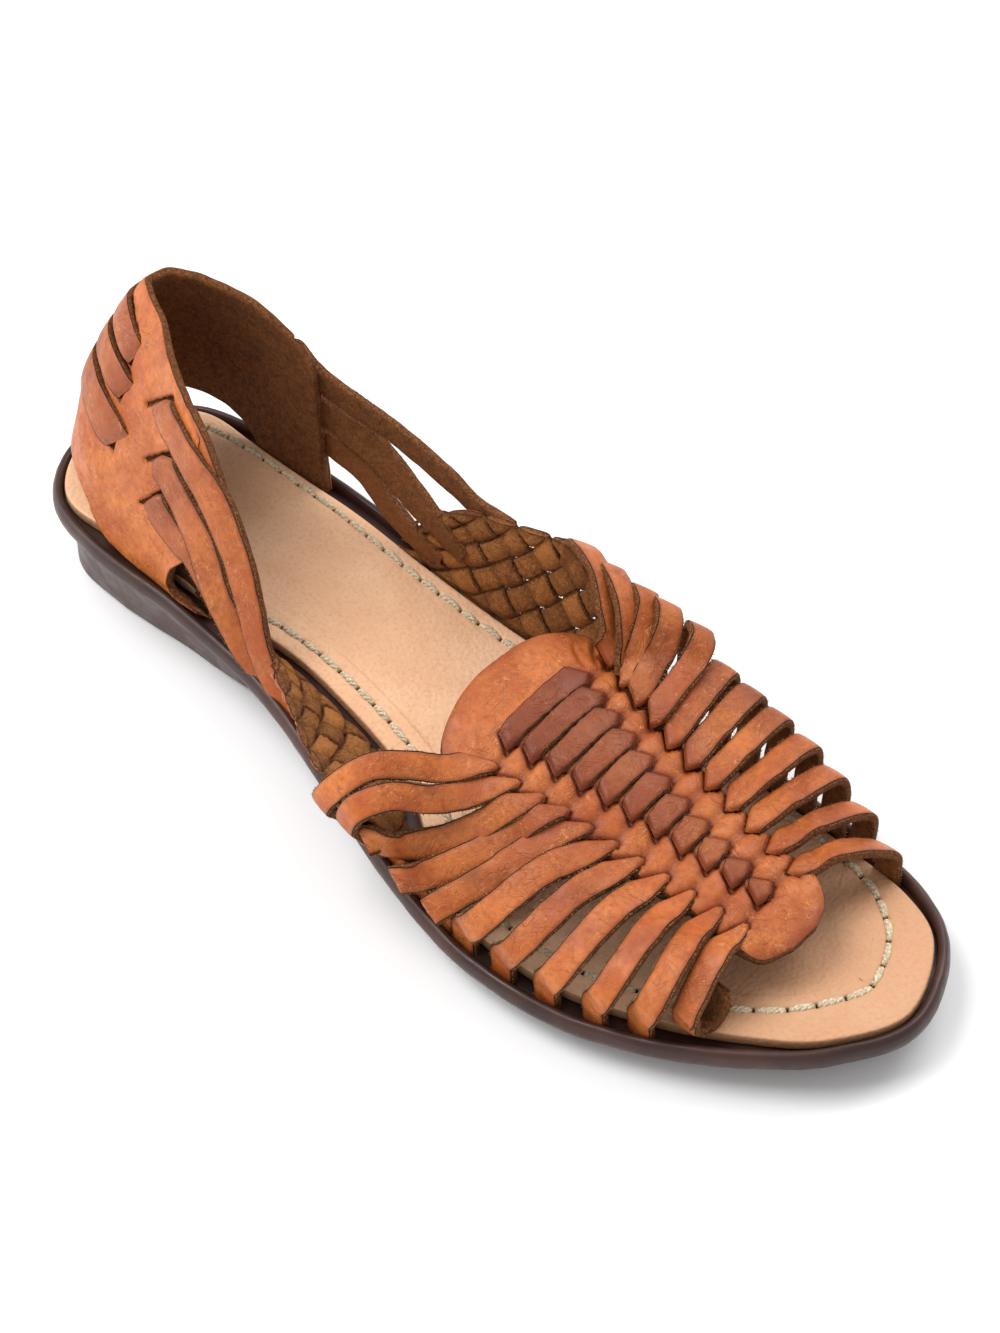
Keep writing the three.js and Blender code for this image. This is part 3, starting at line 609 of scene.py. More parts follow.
def tan_leather(name, suede=(104, 58, 27), suede_light=(172, 108, 54)):
    """Burnished vegetable-tanned leather: grain, cut edge and suede by the side value."""
    n = Nodes(name)
    side, burn, tone = n.attribute("side"), n.attribute("burn"), n.attribute("tone")
    patch = n.noise(11.0, 5.0, 0.6)
    fine = n.noise(1.3, 5.0, 0.65)
    grain = n.mix(n.ramp(patch, 0.36, 0.66), rgb(172, 85, 34), rgb(203, 116, 56))
    grain = n.mix(n.math("MULTIPLY", n.ramp(fine, 0.42, 0.72), 0.45), grain, rgb(138, 58, 22))
    # the darkening value reddens and darkens the grain: partly burnish, partly painted shade
    reddish = n.math("ADD", burn, n.math("MULTIPLY", tone, 0.5), clamp=True)
    grain = n.mix(n.math("MULTIPLY", reddish, 0.92), grain, rgb(100, 37, 14))
    blotch = n.math("MULTIPLY", n.ramp(n.noise(5.5, 4.0, 0.6, 0.4), 0.52, 0.76), 0.5)
    grain = n.mix(blotch, grain, rgb(114, 50, 24))
    lines = n.math("ABSOLUTE", n.math("SUBTRACT", n.noise(7.0, 1.5, 0.5, 2.6), 0.5))
    lines = n.ramp(lines, 0.0, 0.013, 1.0, 0.0)
    small = n.noise(5.0, 1.5, 0.5, 3.2, n.stretched((1.0, 0.5, 0.8)))
    small = n.math("ABSOLUTE", n.math("SUBTRACT", small, 0.5))
    lines = n.math("MAXIMUM", lines, n.math("MULTIPLY", n.ramp(small, 0.0, 0.014, 1.0, 0.0), 0.6))
    lines = n.math("MULTIPLY", lines, n.ramp(burn, 0.35, 0.8, 1.0, 0.3))
    where = n.ramp(n.noise(8.0, 2.0, 0.5), 0.36, 0.58)
    crease = n.math("MULTIPLY", lines, where)
    grain = n.mix(n.math("MULTIPLY", crease, 0.42), grain, rgb(232, 160, 104))
    # the edges of each strap are painted darker: partly rubbed wear, partly painted shade where they round over
    rubbed_and_shaded = n.ramp(n.math("ABSOLUTE", n.attribute("mark")), 0.66, 0.97, 0.0, 0.55)
    grain = n.mix(rubbed_and_shaded, grain, rgb(110, 50, 22))
    fibre = n.noise(0.55, 6.0, 0.75, 0.6)
    tuft = n.noise(2.4, 4.0, 0.7, 0.8)
    flesh = n.mix(n.ramp(fibre, 0.3, 0.72), rgb(*suede), rgb(*suede_light))
    shadow = tinted(suede, (0.62, 0.6, 0.55))
    flesh = n.mix(n.math("MULTIPLY", n.ramp(tuft, 0.42, 0.7), 0.55), flesh, shadow)
    flesh = n.mix(n.ramp(tone, 0.0, 0.6, 0.0, 0.5), flesh, tinted(suede_light, (1.1, 1.06, 1.0)))
    flesh = n.mix(n.ramp(tone, -0.6, 0.0, 0.4, 0.0), flesh, tinted(suede, (0.75, 0.72, 0.7)))
    # the suede takes the darkening value too, which in the braids is painted shade between the strands
    flesh = n.mix(n.math("MULTIPLY", burn, 0.85, clamp=True), flesh, rgb(46, 24, 10))
    cut = n.mix(n.ramp(fibre, 0.38, 0.66), rgb(92, 50, 24), rgb(168, 106, 58))
    cut = n.mix(n.ramp(tone, -0.8, -0.95, 0.0, 0.85), cut, rgb(214, 160, 104))
    color = n.mix(n.ramp(side, -0.25, -0.75), cut, flesh)
    color = n.mix(n.ramp(side, 0.45, 0.85), color, grain)
    grainy = n.ramp(side, 0.45, 0.85)
    height = n.math("ADD", n.math("MULTIPLY", fine, 0.5), n.math("MULTIPLY", crease, -0.5))
    pores = n.math("MULTIPLY", n.cells(0.7, 0.4), 0.5)
    height = n.math("ADD", height, pores)
    wrinkle = n.math("ABSOLUTE", n.math("SUBTRACT", n.noise(6.0, 3.0, 0.5, 1.6), 0.5))
    wrinkle = n.math("MULTIPLY", n.ramp(wrinkle, 0.0, 0.05), where)
    normal = n.bump(n.math("MULTIPLY", wrinkle, grainy), 0.09)
    normal = n.bump(n.math("MULTIPLY", height, grainy), 0.15, normal)
    rough_side = n.math("SUBTRACT", 1.0, grainy)
    normal = n.bump(n.math("MULTIPLY", fibre, rough_side), 0.9, normal)
    normal = n.bump(n.math("MULTIPLY", tuft, rough_side), 0.8, normal)
    shine = n.ramp(n.noise(3.0, 4.0), 0.3, 0.7, 0.36, 0.54)
    roughness = n.math("ADD", n.math("MULTIPLY", shine, grainy), n.math("MULTIPLY", rough_side, 0.92))
    return n.finish(color, roughness, normal, Specular_IOR_Level=0.32)


def sole_rubber():
    n = Nodes("sole_rubber_look")
    patch = n.noise(16.0, 4.0)
    color = n.mix(n.ramp(patch, 0.35, 0.68), rgb(50, 28, 23), rgb(70, 42, 34))
    rows = n.noise(2.0, 4.0, 0.65, 0.3, n.stretched((0.1, 0.1, 1.0)))
    scratch = n.ramp(rows, 0.6, 0.72)
    thin = n.ramp(n.noise(9.0, 2.0), 0.5, 0.68)
    color = n.mix(n.math("MULTIPLY", n.math("MULTIPLY", scratch, thin), 0.35), color, rgb(120, 92, 88))
    scuff = n.math("MULTIPLY", n.ramp(n.noise(1.6, 5.0, 0.7), 0.66, 0.76), n.attribute("mark"))
    color = n.mix(n.math("MULTIPLY", scuff, 0.6), color, rgb(170, 140, 122))
    normal = n.bump(n.noise(0.9, 4.0, 0.6), 0.05)
    normal = n.bump(rows, 0.12, normal)
    roughness = n.ramp(n.noise(6.0, 5.0, 0.6), 0.3, 0.7, 0.3, 0.48)
    return n.finish(color, roughness, normal, Specular_IOR_Level=0.38)


def footbed_leather():
    n = Nodes("footbed_leather_look")
    patch = n.noise(26.0, 5.0, 0.6)
    fine = n.noise(0.9, 5.0, 0.62)
    color = n.mix(n.ramp(patch, 0.35, 0.68), rgb(224, 174, 136), rgb(234, 190, 153))
    color = n.mix(n.math("MULTIPLY", n.ramp(fine, 0.45, 0.75), 0.4), color, rgb(188, 138, 100))
    # darker toward the toe: partly wear, partly painted shade
    color = n.mix(n.math("MULTIPLY", n.attribute("burn"), 0.5), color, rgb(176, 124, 88))
    hole = n.attribute("mark")
    # painted shade in the stitch holes
    color = n.mix(n.ramp(hole, 0.25, 0.9), color, rgb(58, 40, 26))
    side = n.attribute("side")
    color = n.mix(n.ramp(side, 0.35, 0.8, 0.75, 0.0), color, rgb(150, 108, 74))
    pebble = n.cells(0.95, 0.7, "SMOOTH_F1")
    normal = n.bump(pebble, 0.2)
    normal = n.bump(fine, 0.1, normal)
    return n.finish(color, n.ramp(fine, 0.3, 0.7, 0.6, 0.72), normal, Specular_IOR_Level=0.3)


def thread_look():
    n = Nodes("thread_look")
    fine = n.noise(0.5, 4.0, 0.7)
    color = n.mix(n.ramp(fine, 0.35, 0.7), rgb(178, 158, 128), rgb(240, 226, 198))
    return n.finish(color, 0.8, n.bump(fine, 0.15), Specular_IOR_Level=0.25)


LEATHER = tan_leather("tan_leather_look")
RUBBER = sole_rubber()
BEIGE = footbed_leather()
THREAD = thread_look()

# ---- Outsole -------------------------------------------------------------------------------------------------

# From the underside's edge to the footbed seat: where the row is measured from, inset, and height.
SOLE_ROWS = [
    ("under", 4.2, 0.0),
    ("under", 2.2, 0.0),
    ("under", 1.4, 0.1),
    ("under", 0.7, 0.4),
    ("under", 0.25, 0.9),
    ("under", 0.0, 1.6),
    ("wall", 0.18, 0.0),
    ("wall", 0.36, 0.0),
    ("wall", 0.54, 0.0),
    ("wall", 0.7, 0.0),
    ("wall", 0.84, 0.0),
    ("wall", 0.94, 0.0),
    ("rim", 2.5, -5.9),
    ("rim", 2.55, -5.5),
    ("rim", 2.3, -5.2),
    ("rim", 1.6, -4.95),
    ("rim", 0.95, -4.7),
    ("rim", 0.45, -4.25),
    ("rim", 0.12, -3.6),
    ("rim", 0.0, -2.8),
    ("rim", 0.08, -2.0),
    ("rim", 0.32, -1.2),
    ("rim", 0.72, -0.5),
    ("rim", 1.25, -0.08),
    ("rim", 1.75, 0.0),
    ("rim", 2.2, -0.2),
    ("seat", RIM_INSET, -0.8),
    ("seat", RIM_INSET + 0.08, -1.8),
    ("seat", RIM_INSET + 0.1, -PLATFORM_DROP),
]


def strip_disk(ring, columns, height, flip):
    """Rows of points across a ring from its first half to its second, with their faces. height sets each z."""
    n = len(ring)
    half = n // 2
    u = np.linspace(0, 1, columns + 1)[None, :, None]
    near, far = ring[1:half], ring[n - 1 : half : -1]
    points = near[:, None] * (1 - u) + far[:, None] * u
    inner = points.copy()
    inner[..., 2] = height(points)
    inner[:, 0], inner[:, -1] = near, far
    cols = columns + 1
    faces = list(grid_faces(half - 1, cols, flip=flip))
    ends = [ring[0], ring[half]]
    first, last = (half - 1) * cols, (half - 1) * cols + 1
    for j in range(columns):
        a = [first, j + 1, j]
        b = [last, (half - 2) * cols + j, (half - 2) * cols + j + 1]
        faces += [a[::-1], b[::-1]] if flip else [a, b]
    return np.vstack([inner.reshape(-1, 3), ends]), faces


def tread(points):
    """Underside with wavy cross grooves and a smooth border."""
    x, y = points[..., 0], points[..., 1]
    wave = np.sin(2 * math.pi * (x + 2.0 * np.sin(y * 0.35)) / 7.0)
    middle = (side_y(x, 1) + side_y(x, -1)) / 2
    reach = (side_y(x, 1) - side_y(x, -1)) / 2 - 9.5
    inside = smooth(reach - np.abs(y - middle), 0, 1.2) * smooth(x, 12, 15) * smooth(-x, -243, -240)
    waist = smooth(x, 76, 80) * smooth(-x, -132, -128)
    return under_z(x) + 0.9 * smooth(wave, 0.35, 0.75) * inside * (1 - waist)


def side_y(x, side):
    name = "medial" if side > 0 else "lateral"
    return side * np.interp(x, np.r_[0, SOLE["x"], LENGTH], np.r_[0, SOLE[name], 0])


def make_sole():
    n = 520
    t = np.arange(n) / n
    plan = outline(t)
    wall = column(SOLE, "wall", plan[:, 0])
    rings = []
    for origin, inset, rise in SOLE_ROWS:
        if origin == "under":
            ring = outline(t, wall + inset)
            ring[:, 2] = under_z(ring[:, 0]) + rise
        elif origin == "wall":
            low = outline(t, wall)
            low[:, 2] = under_z(low[:, 0]) + 1.6
            high = outline(t, 2.5)
            high[:, 2] = rim_z(high[:, 0]) - 5.9
            ring = low + (high - low) * inset
            # the wall is a little hollow
            hollow = 0.5 * math.sin(math.pi * inset)
            ring = ring + (outline(t, 1.0) - outline(t)) * hollow
        else:
            ring = outline(t, inset)
            ring[:, 2] = rim_z(ring[:, 0]) + rise
        rings.append(ring)
    rings = np.array(rings)
    jitter = 0.07 * wobble(rings, 14.0, 5) + 0.03 * wobble(rings, 3.0, 6)
    inward = (outline(t, 1.0) - outline(t))[None]
    outer = np.array([r[0] != "seat" for r in SOLE_ROWS])[:, None, None]
    rings = rings + inward * jitter[..., None] * outer
    toe = smooth(rings[..., 0], 205, 240)
    upper = np.array([r[0] == "rim" for r in SOLE_ROWS])[:, None]
    piece = Piece("sole")
    faces = grid_faces(len(rings), n, wrap=True, flip=True)
    piece.add(rings, faces, mark=toe * upper)
    points, faces = strip_disk(rings[0], 56, tread, False)
    piece.add(points, faces)
    seat = lambda p: seat_z(p[..., 0])
    points, faces = strip_disk(rings[-1], 12, seat, True)
    piece.add(points, faces)
    return piece.build(RUBBER, "sole_rubber", "outsole")


# ---- Footbed and its stitching -------------------------------------------------------------------------------

STITCH_PITCH = 6.1


def by_side(rows, t):
    """A table's value round the outline: its lateral column for the first half and its medial one after."""
    x = outline(t)[:, 0]
    return np.where(np.asarray(t) < 0.5, column(rows, "lateral", x), column(rows, "medial", x))


def eased(values, share):
    """Ring of values with its steps softened over a share of the ring."""
    reach = max(int(len(values) * share), 1)
    kernel = np.hanning(2 * reach + 3)[1:-1]
    return np.convolve(np.r_[values[-reach:], values, values[:reach]], kernel / kernel.sum(), "valid")


def stitch_curve(n=1600):
    t = np.arange(n) / n
    inset = eased(by_side(STITCH, t), 0.035)
    line = outline(t, inset)
    line[:, 2] = rim_z(line[:, 0]) + FOOTBED_RISE
    return t, inset, line


def stitch_ends():
    """Where the stitch holes are along the stitch curve, as distances, and the curve's length."""
    _, _, line = stitch_curve()
    closed = np.vstack([line, line[:1]])
    s = np.concatenate([[0], np.cumsum(np.linalg.norm(np.diff(closed, axis=0), axis=1))])
    count = int(round(s[-1] / STITCH_PITCH))
    rng = np.random.default_rng(3)
    return (np.arange(count) + rng.uniform(-0.09, 0.09, count)) * s[-1] / count, s, closed


FOOTBED_OFFSETS = (-3.2, -2.0, -1.35, -0.95, -0.6, -0.3, 0.0, 0.3, 0.6, 0.95, 1.35, 2.0, 3.2)


def make_footbed():
    n = 1040
    t = np.arange(n) / n
    ts, insets, _ = stitch_curve()
    edge = eased(by_side(FOOTBED, t), 0.03)
    line_inset = np.interp(t, np.r_[ts, 1], np.r_[insets, insets[0]])
    ends, s, _ = stitch_ends()
    distance = np.interp(t, np.r_[ts, 1], s)
    nearest = np.abs((distance[:, None] - ends[None, :] + s[-1] / 2) % s[-1] - s[-1] / 2).min(1)
    seat, top = GAP, PLATFORM_DROP + FOOTBED_RISE
    # from its underside round the cut edge to its face: inset, height and side value
    rows = [(0.5, seat, 0), (0.05, seat + 0.4, 0), (0.0, 1.2, 0), (0.0, top - 1.0, 0)]
    rows += [(0.08, top - 0.5, 0.2), (0.3, top - 0.15, 0.7), (0.75, top, 1)]
    rings, side, holes = [], [], []
    for inset, rise, value in rows:
        ring = outline(t, edge + inset)
        ring[:, 2] = seat_z(ring[:, 0]) + rise
        rings.append(ring)
        side.append(np.full(n, float(value)))
        holes.append(np.zeros(n))
    room = line_inset - (edge + 0.75)
    for offset in FOOTBED_OFFSETS:
        squeezed = np.where(offset < 0, offset * np.minimum(1, room / 3.6), offset)
        ring = outline(t, line_inset + squeezed)
        groove = 0.5 * hill(offset, 0.75)
        pit = hill(nearest, 0.55) * hill(offset, 0.5)
        drop = groove * (0.75 + 0.25 * np.cos(nearest)) + 0.8 * pit
        ring[:, 2] = rim_z(ring[:, 0]) + FOOTBED_RISE - drop
        rings.append(ring)
        side.append(np.ones(n))
        # this value paints each stitch hole dark: painted shade
        holes.append(np.clip(pit * 2.2, 0, 1))
    rings = np.array(rings)
    piece = Piece("footbed_board")
    # the toe end is painted darker: partly wear, partly painted shade
    worn_and_shaded = smooth(rings[..., 0], 196, 222)
    faces = grid_faces(len(rings), n, wrap=True, flip=True)
    piece.add(rings, faces, side=np.array(side), mark=np.array(holes), burn=worn_and_shaded)

    def dished(p):
        x, y = p[..., 0], p[..., 1]
        middle = (side_y(x, 1) + side_y(x, -1)) / 2
        reach = (side_y(x, 1) - side_y(x, -1)) / 2 - 14
        lean = np.clip(1 - ((y - middle) / np.maximum(reach, 4)) ** 2, 0, 1)
        hollow = 0.7 * lean * smooth(x, 8, 40) * smooth(-x, -242, -215)
        return rim_z(x) + FOOTBED_RISE - hollow + 0.05 * wobble(p, 12.0, 21)

    points, faces = strip_disk(rings[-1], 44, dished, True)
    piece.add(points, faces, burn=smooth(np.asarray(points)[..., 0], 196, 222))
    points, faces = strip_disk(rings[0], 10, lambda p: seat_z(p[..., 0]) + seat, False)
    piece.add(points, faces)
    return piece.build(BEIGE, "footbed_leather", "footbed")


def tube(piece, centres, radius, sides=7):
    """Round tube along centres, closed at both ends. radius may change along it."""
    centres = np.asarray(centres, float)
    along = unit(np.gradient(centres, axis=0))
    up = np.array([0.0, 0.0, 1.0])
    across = unit(np.cross(along, up) + 1e-6)
    other = np.cross(across, along)
    angle = np.linspace(0, 2 * math.pi, sides, endpoint=False)
    ring = np.cos(angle)[None, :, None] * across[:, None] + np.sin(angle)[None, :, None] * other[:, None]
    points = centres[:, None] + ring * np.broadcast_to(radius, (len(centres),))[:, None, None]
    faces = list(grid_faces(len(centres), sides, wrap=True))
    faces.append(list(range(sides))[::-1])
    faces.append([(len(centres) - 1) * sides + i for i in range(sides)])
    piece.add(points, faces)


def make_thread():
    """Three twisted plies in each stitch, which dips into its hole at both ends."""
    piece = Piece("footbed_thread")
    ends, s, closed = stitch_ends()
    rng = np.random.default_rng(8)
    ends = np.sort(ends)
    for k, begin in enumerate(ends):
        finish = ends[k + 1] if k + 1 < len(ends) else ends[0] + s[-1]
        u = np.linspace(0, 1, 15)
        at = (begin + 0.4 + (finish - begin - 0.8) * u) % s[-1]
        centre = np.stack([np.interp(at, s, closed[:, i]) for i in range(3)], 1)
        along = unit(np.gradient(centre, axis=0))
        across = unit(np.cross(along, (0, 0, 1)))
        centre = centre + across * (rng.uniform(-0.12, 0.12) + 0.12 * np.sin(math.pi * u)[:, None])
        rise = 0.62 * np.sin(math.pi * u) ** 0.4 - 0.75
        centre[:, 2] += rise + 0.02
        fat = 0.6 + 0.4 * np.sin(math.pi * u) ** 0.5
        for ply in range(3):
            turn = 2 * math.pi * (ply / 3 + u * (finish - begin) / 4.4) + rng.uniform(-0.2, 0.2)
            spread = 0.42 * fat
            path = centre + across * (np.cos(turn) * spread)[:, None]
            path[:, 2] += np.sin(turn) * spread * 0.8
            tube(piece, path, 0.46 * fat)
    return piece.build(THREAD, "footbed_leather")


# ---- Vamp ----------------------------------------------------------------------------------------------------

# The weave's rows, heel end first: where the first is along the shoe, the step to the second, and how much each
# further step grows.
ROW_COUNT = 11
FIRST_ROW = 160.1
ROW_STEP = 5.5
STEP_GROWTH = 0.08
# How far the ends of the bars and of the medial straps lie ahead of their rows.
LATERAL_BAR_AHEAD = -0.6
MEDIAL_AHEAD = -1.8
# Across the centre piece: where the straps' tips and the bars' ends go down into it.
WEAVE = table(
    "x lateralTip lateralBar medialBar medialTip",
    [
        (158, -18.1, -15.1, 12.6, 17.3),
        (170, -16.2, -12.1, 9.6, 13.7),
        (182, -13.2, -9.0, 7.2, 11.0),
        (200, -9.9, -5.8, 4.6, 9.2),
        (219, -6.9, -3.3, 3.3, 7.1),
    ],
)


def weave_ends(name, ahead):
    """Places on the centre piece of one kind of end, one for each row."""
    k = np.arange(ROW_COUNT)
    x = FIRST_ROW + ROW_STEP * k + STEP_GROWTH * k * (k - 1) / 2 + ahead
    return np.stack([x, column(WEAVE, name, x)], 1)


LATERAL_TIPS = weave_ends("lateralTip", 0.0)
MEDIAL_TIPS = weave_ends("medialTip", MEDIAL_AHEAD)
BAR_LATERAL = weave_ends("lateralBar", LATERAL_BAR_AHEAD)
BAR_MEDIAL = weave_ends("medialBar", MEDIAL_AHEAD)

# Each vamp strap after its tip: the places its middle goes through as far as its bend, then the x of its slot
# in the sole's rim, or None where its last place is its hidden end.
LATERAL_RUNS = [
    ([(154, -25, 36.5), (148.5, -31.5, 39), (143.5, -37, 39.5),
      (139, -42.5, 35), (135.5, -45, 29), (134, -42, 23)], None),
    ([(160.5, -24, 33.5), (155.5, -31.5, 34), (150.5, -38.5, 37),
      (146.5, -44.5, 35.5), (143.5, -45.5, 29), (142.5, -42, 21)], None),
    ([(168.8, -21.2, 33.6), (163.5, -27.5, 28.2), (158.5, -33, 24.7),
      (153.5, -40, 25.3), (149.5, -45, 28)], 147.5),
    ([(174, -20.2, 33.2), (170, -25.5, 28.5), (165, -33, 24),
      (160, -41, 21.5), (157.3, -44.5, 21.5)], 155.5),
    ([(176, -25.5, 28.5), (171.5, -34, 23.5), (167.5, -41, 20), (166, -44, 18.5)], 164.5),
    ([(177, -42.4, 21.5)], 171.5),
    ([(187, -41.4, 21.0)], 182.5),
    ([(197, -39.8, 20.5)], 193.5),
    ([(207, -36.8, 20.0)], 204),
    ([(215.5, -32.8, 19.5)], 213),
    ([(221.5, -28.6, 18.5)], 221),
]
MEDIAL_RUNS = [
    ([(156.5, 20.5, 41), (153, 23.5, 45), (147, 27.5, 49),
      (141.5, 29.7, 50.5), (135.5, 32.5, 47), (133, 32.5, 39)], None),
    ([(163, 20, 38.5), (161.5, 24.5, 41.8), (158.5, 29.5, 45),
      (155, 32.5, 46), (152, 34.3, 41), (151, 33, 32)], None),
    ([(167, 21.3, 38.3), (166, 26.5, 42.3), (163.5, 31, 45), (160, 33.8, 44.5)], 157.5),
    ([(174, 22.5, 38.8), (173, 28.5, 41), (171.5, 32.5, 43), (168.5, 34.5, 42.5)], 166.0),
    ([(176.5, 34.6, 35.5)], 176),
    ([(184, 34.8, 33.5)], 184),
    ([(191.5, 34.9, 31.5)], 192),
    ([(199.5, 34.8, 29.0)], 200.5),
    ([(207.5, 34.2, 25.5)], 209),
    ([(216.5, 33.4, 21.5)], 217.5),
    ([(225, 31.0, 17.5)], 225.5),
]
# A second strap comes out from under the first two on the medial side and folds over the braid beside them.
MEDIAL_UNDER = (
    [(157.5, 24.5, 45), (152.5, 28, 48), (146.5, 31, 48.3), (142.5, 33, 44), (141, 32.5, 36)],
    None,
)


# The toe-most lateral strap curls under into an open loop: offsets from its foot, and its face's direction.
CURL = [
    (0.0, 0.3, 6.0, -1.0, 0.0),
    (0.3, 0.5, 2.6, -0.8, -0.5),
    (0.9, 2.6, 1.5, -0.1, -1.0),
    (1.5, 5.6, 2.0, 0.3, -1.0),
    (1.6, 8.0, 4.6, 1.0, -0.3),
    (0.8, 8.6, 8.0, 1.0, 0.2),
]


def plug_top(x, y):
    """Height of the centre piece's upper face before its slits are pressed in."""
    return column(PLUG, "crown", x) - PLUG_FALL * y * y


def from_foot(p):
    return unit(np.array([0.0, p[1] - 1, p[2] - 8]))


def tip_cut(toe_share, heel_slope, toe_slope):
    """How far in a strap's end is cut back each side of its tip. Its across value is -1 on one edge, 1 on the
    other, with the tip at toe_share."""
    half = STRAP_WIDTH / 2
    return lambda a: np.where(a > toe_share, heel_slope, toe_slope) * np.abs(a - toe_share) * half


def vamp_line(tip, run, side, k):
    places, foot_x = run
    x, y = tip
    z = float(plug_top(x, y))
    start = np.array([x, y, z - 0.1])
    near = start * 0.75 + np.array(places[0]) * 0.25
    if len(places) == 1:
        bend = np.array(places[0])
        shoulder = start * 0.5 + bend * 0.5
        shoulder[2] = max(z, bend[2]) * 0.5 + shoulder[2] * 0.5 + 1.8
        near[2] += 0.8
        places = [shoulder, bend]
    else:
        near[2] += 0.6
    surface = unit(np.array([0.19, 2 * PLUG_FALL * y, 0.98]))
    rows = [(*start, *unit(surface + from_foot(start)), STRAP_WIDTH)]
    rows.append((*near, *unit(0.4 * surface + from_foot(near)), STRAP_WIDTH))
    rows += [(*p, *from_foot(p), STRAP_WIDTH) for p in places]
    if foot_x is None:
        rows[-1] = (*places[-1], 0, side, 0, STRAP_WIDTH)
        return rows
    foot = side_point(foot_x, side, SLOT_INSET)[0]
    out = unit(side_point(foot_x, side, 0)[0] - foot)
    rim = float(rim_z(foot_x))
    if side < 0 and k == len(LATERAL_RUNS) - 1:
        for dx, dy, rise, ny, nz in CURL:
            rows.append((foot[0] + dx, foot[1] + dy, rim + rise, 0.1, ny, nz, STRAP_WIDTH))
        return rows
    for rise in (3.0, -1.0, -PLATFORM_DROP - 0.6):
        rows.append((foot[0], foot[1], rim + rise, *out, STRAP_WIDTH))
    return rows


def vamp_straps(name, tips, runs, side):
    piece = Piece(name)
    corners = []
    rng = np.random.default_rng(11 if side < 0 else 12)
    # across runs from toe to heel on the lateral side, and from heel to toe on the medial side
    if side < 0:
        cut = tip_cut(-0.5, 1.5, 1.3)
        tip_at = -0.5
    else:
        cut = lambda a: tip_cut(-0.45, 1.0, 1.8)(-a)
        tip_at = 0.45
    dive = lambda d: -1.4 * np.exp(-d / 0.55)
    for k, (tip, run) in enumerate(zip(tips, runs)):
        line, normals, widths = stations(vamp_line(tip, run, side, k))
        # the strap's middle starts beside the tip, so that the tip itself is where the table says
        over = unit(np.cross(line[6] - line[0], normals[3]))
        shift = -over * tip_at * STRAP_WIDTH / 2
        fade = np.clip(1 - np.linspace(0, 1, len(line)) * 3, 0, 1)[:, None]
        line = line + shift * fade
        widths = widths * (1 + 0.04 * rng.uniform(-1, 1))
        near_dark = 0.55 if k < 6 else 0.3
        strength = rng.uniform(0.15, 0.45)
        middle = rng.uniform(12, 24)
        burn = lambda d: near_dark * np.exp(-d / 6.0) + strength * hill(d - middle, 5.0)
        tone = rng.uniform(-0.2, 0.35) + (0.3 if side > 0 and k < 6 else 0)
        look = dict(burn=burn, tone=tone, seed=40 + k)
        points = ribbon(piece, line, normals, widths, rows=84, start=cut, lift=dive, **look)
        # its two edges and its tip, where it leaves the centre piece
        corners.append(points[0][[0, 6, int(np.argmin(np.abs(SECTION[:7, 0] - tip_at)))]])
    if side > 0:
        under = stations(vamp_line((160.5, 19.5), MEDIAL_UNDER, side, 0))
        ribbon(piece, *under, rows=60, burn=lambda d: 0.45 * np.exp(-d / 8.0), tone=0.2, seed=60)
    return piece, corners


def bar_outline(medial, lateral):
    """Corners of one bar on the centre piece, round from its heel side's lateral corner."""
    m, l = np.array(medial), np.array(lateral)
    return np.array([l + (-4.2, 1.9), l, l + (0.7, 3.0), m + (1.7, -3.0), m, m + (-4.4, -2.9)])


def make_bars():
    piece = Piece("vamp_bars")
    a, h, side = SECTION.T
    rows = 46
    rng = np.random.default_rng(5)
    shapes = []
    for k, (m, l) in enumerate(zip(BAR_MEDIAL, BAR_LATERAL)):
        c = bar_outline(m, l)
        shapes.append(c)
        at = (a + 1) / 2
        low = np.stack([np.interp(at, (0, 0.8, 1), c[[0, 1, 2], i]) for i in range(2)], 1)
        high = np.stack([np.interp(at, (0, 0.7, 1), c[[5, 4, 3], i]) for i in range(2)], 1)
        share = np.linspace(0, 1, rows)[:, None, None]
        s = smooth(share) * 0.3 + share * 0.7
        plan = low[None] * (1 - s) + high[None] * s
        centre = plan.mean(1, keepdims=True)
        plan = centre + (plan - centre) * 0.96
        length = np.linalg.norm(high - low, axis=1)[None, :]
        near = np.minimum(s[..., 0], 1 - s[..., 0]) * length
        rise = 0.7 - 1.6 * np.exp(-near / 0.55)
        full = np.concatenate([plan, 0 * plan[..., :1]], -1)
        rough = 0.1 * wobble(full, 2.0, 60 + k) * (np.abs(a) > 0.8)
        plan[..., 0] += rough * np.sign(a)
        z = plug_top(plan[..., 0], plan[..., 1]) + rise + h * 0.95
        z = z + 0.06 * wobble(full, 4.0, 80 + k)
        points = np.concatenate([plan, z[..., None]], -1)
        # the heel's bars are darker than the toe's, and each bar's ends, where they go down into the centre
        # piece, get painted shade
        burn = 0.7 - 0.028 * k + 0.3 * np.exp(-near / 2.2) + 0.08 * rng.uniform(-1, 1)
        shade, mark = np.broadcast_to(side, near.shape), np.broadcast_to(a, near.shape)
        piece.add(points, strap_faces(rows, len(a)), side=shade, burn=burn, tone=0.25, mark=mark)
    return piece, shapes


def segment_distance(x, y, a, b):
    ab = b - a
    t = np.clip(((x - a[0]) * ab[0] + (y - a[1]) * ab[1]) / max(ab @ ab, 1e-9), 0, 1)
    return np.hypot(x - a[0] - t * ab[0], y - a[1] - t * ab[1])


def inside_depth(x, y, corners):
    """Distance inside a convex outline, negative outside."""
    depth = np.full(x.shape, 1e9)
    area = 0
    for a, b in zip(corners, np.roll(corners, -1, 0)):
        area += a[0] * b[1] - a[1] * b[0]
    for a, b in zip(corners, np.roll(corners, -1, 0)):
        e = (b - a) / max(np.linalg.norm(b - a), 1e-9)
        d = e[0] * (y - a[1]) - e[1] * (x - a[0])
        depth = np.minimum(depth, d * np.sign(area))
    return depth


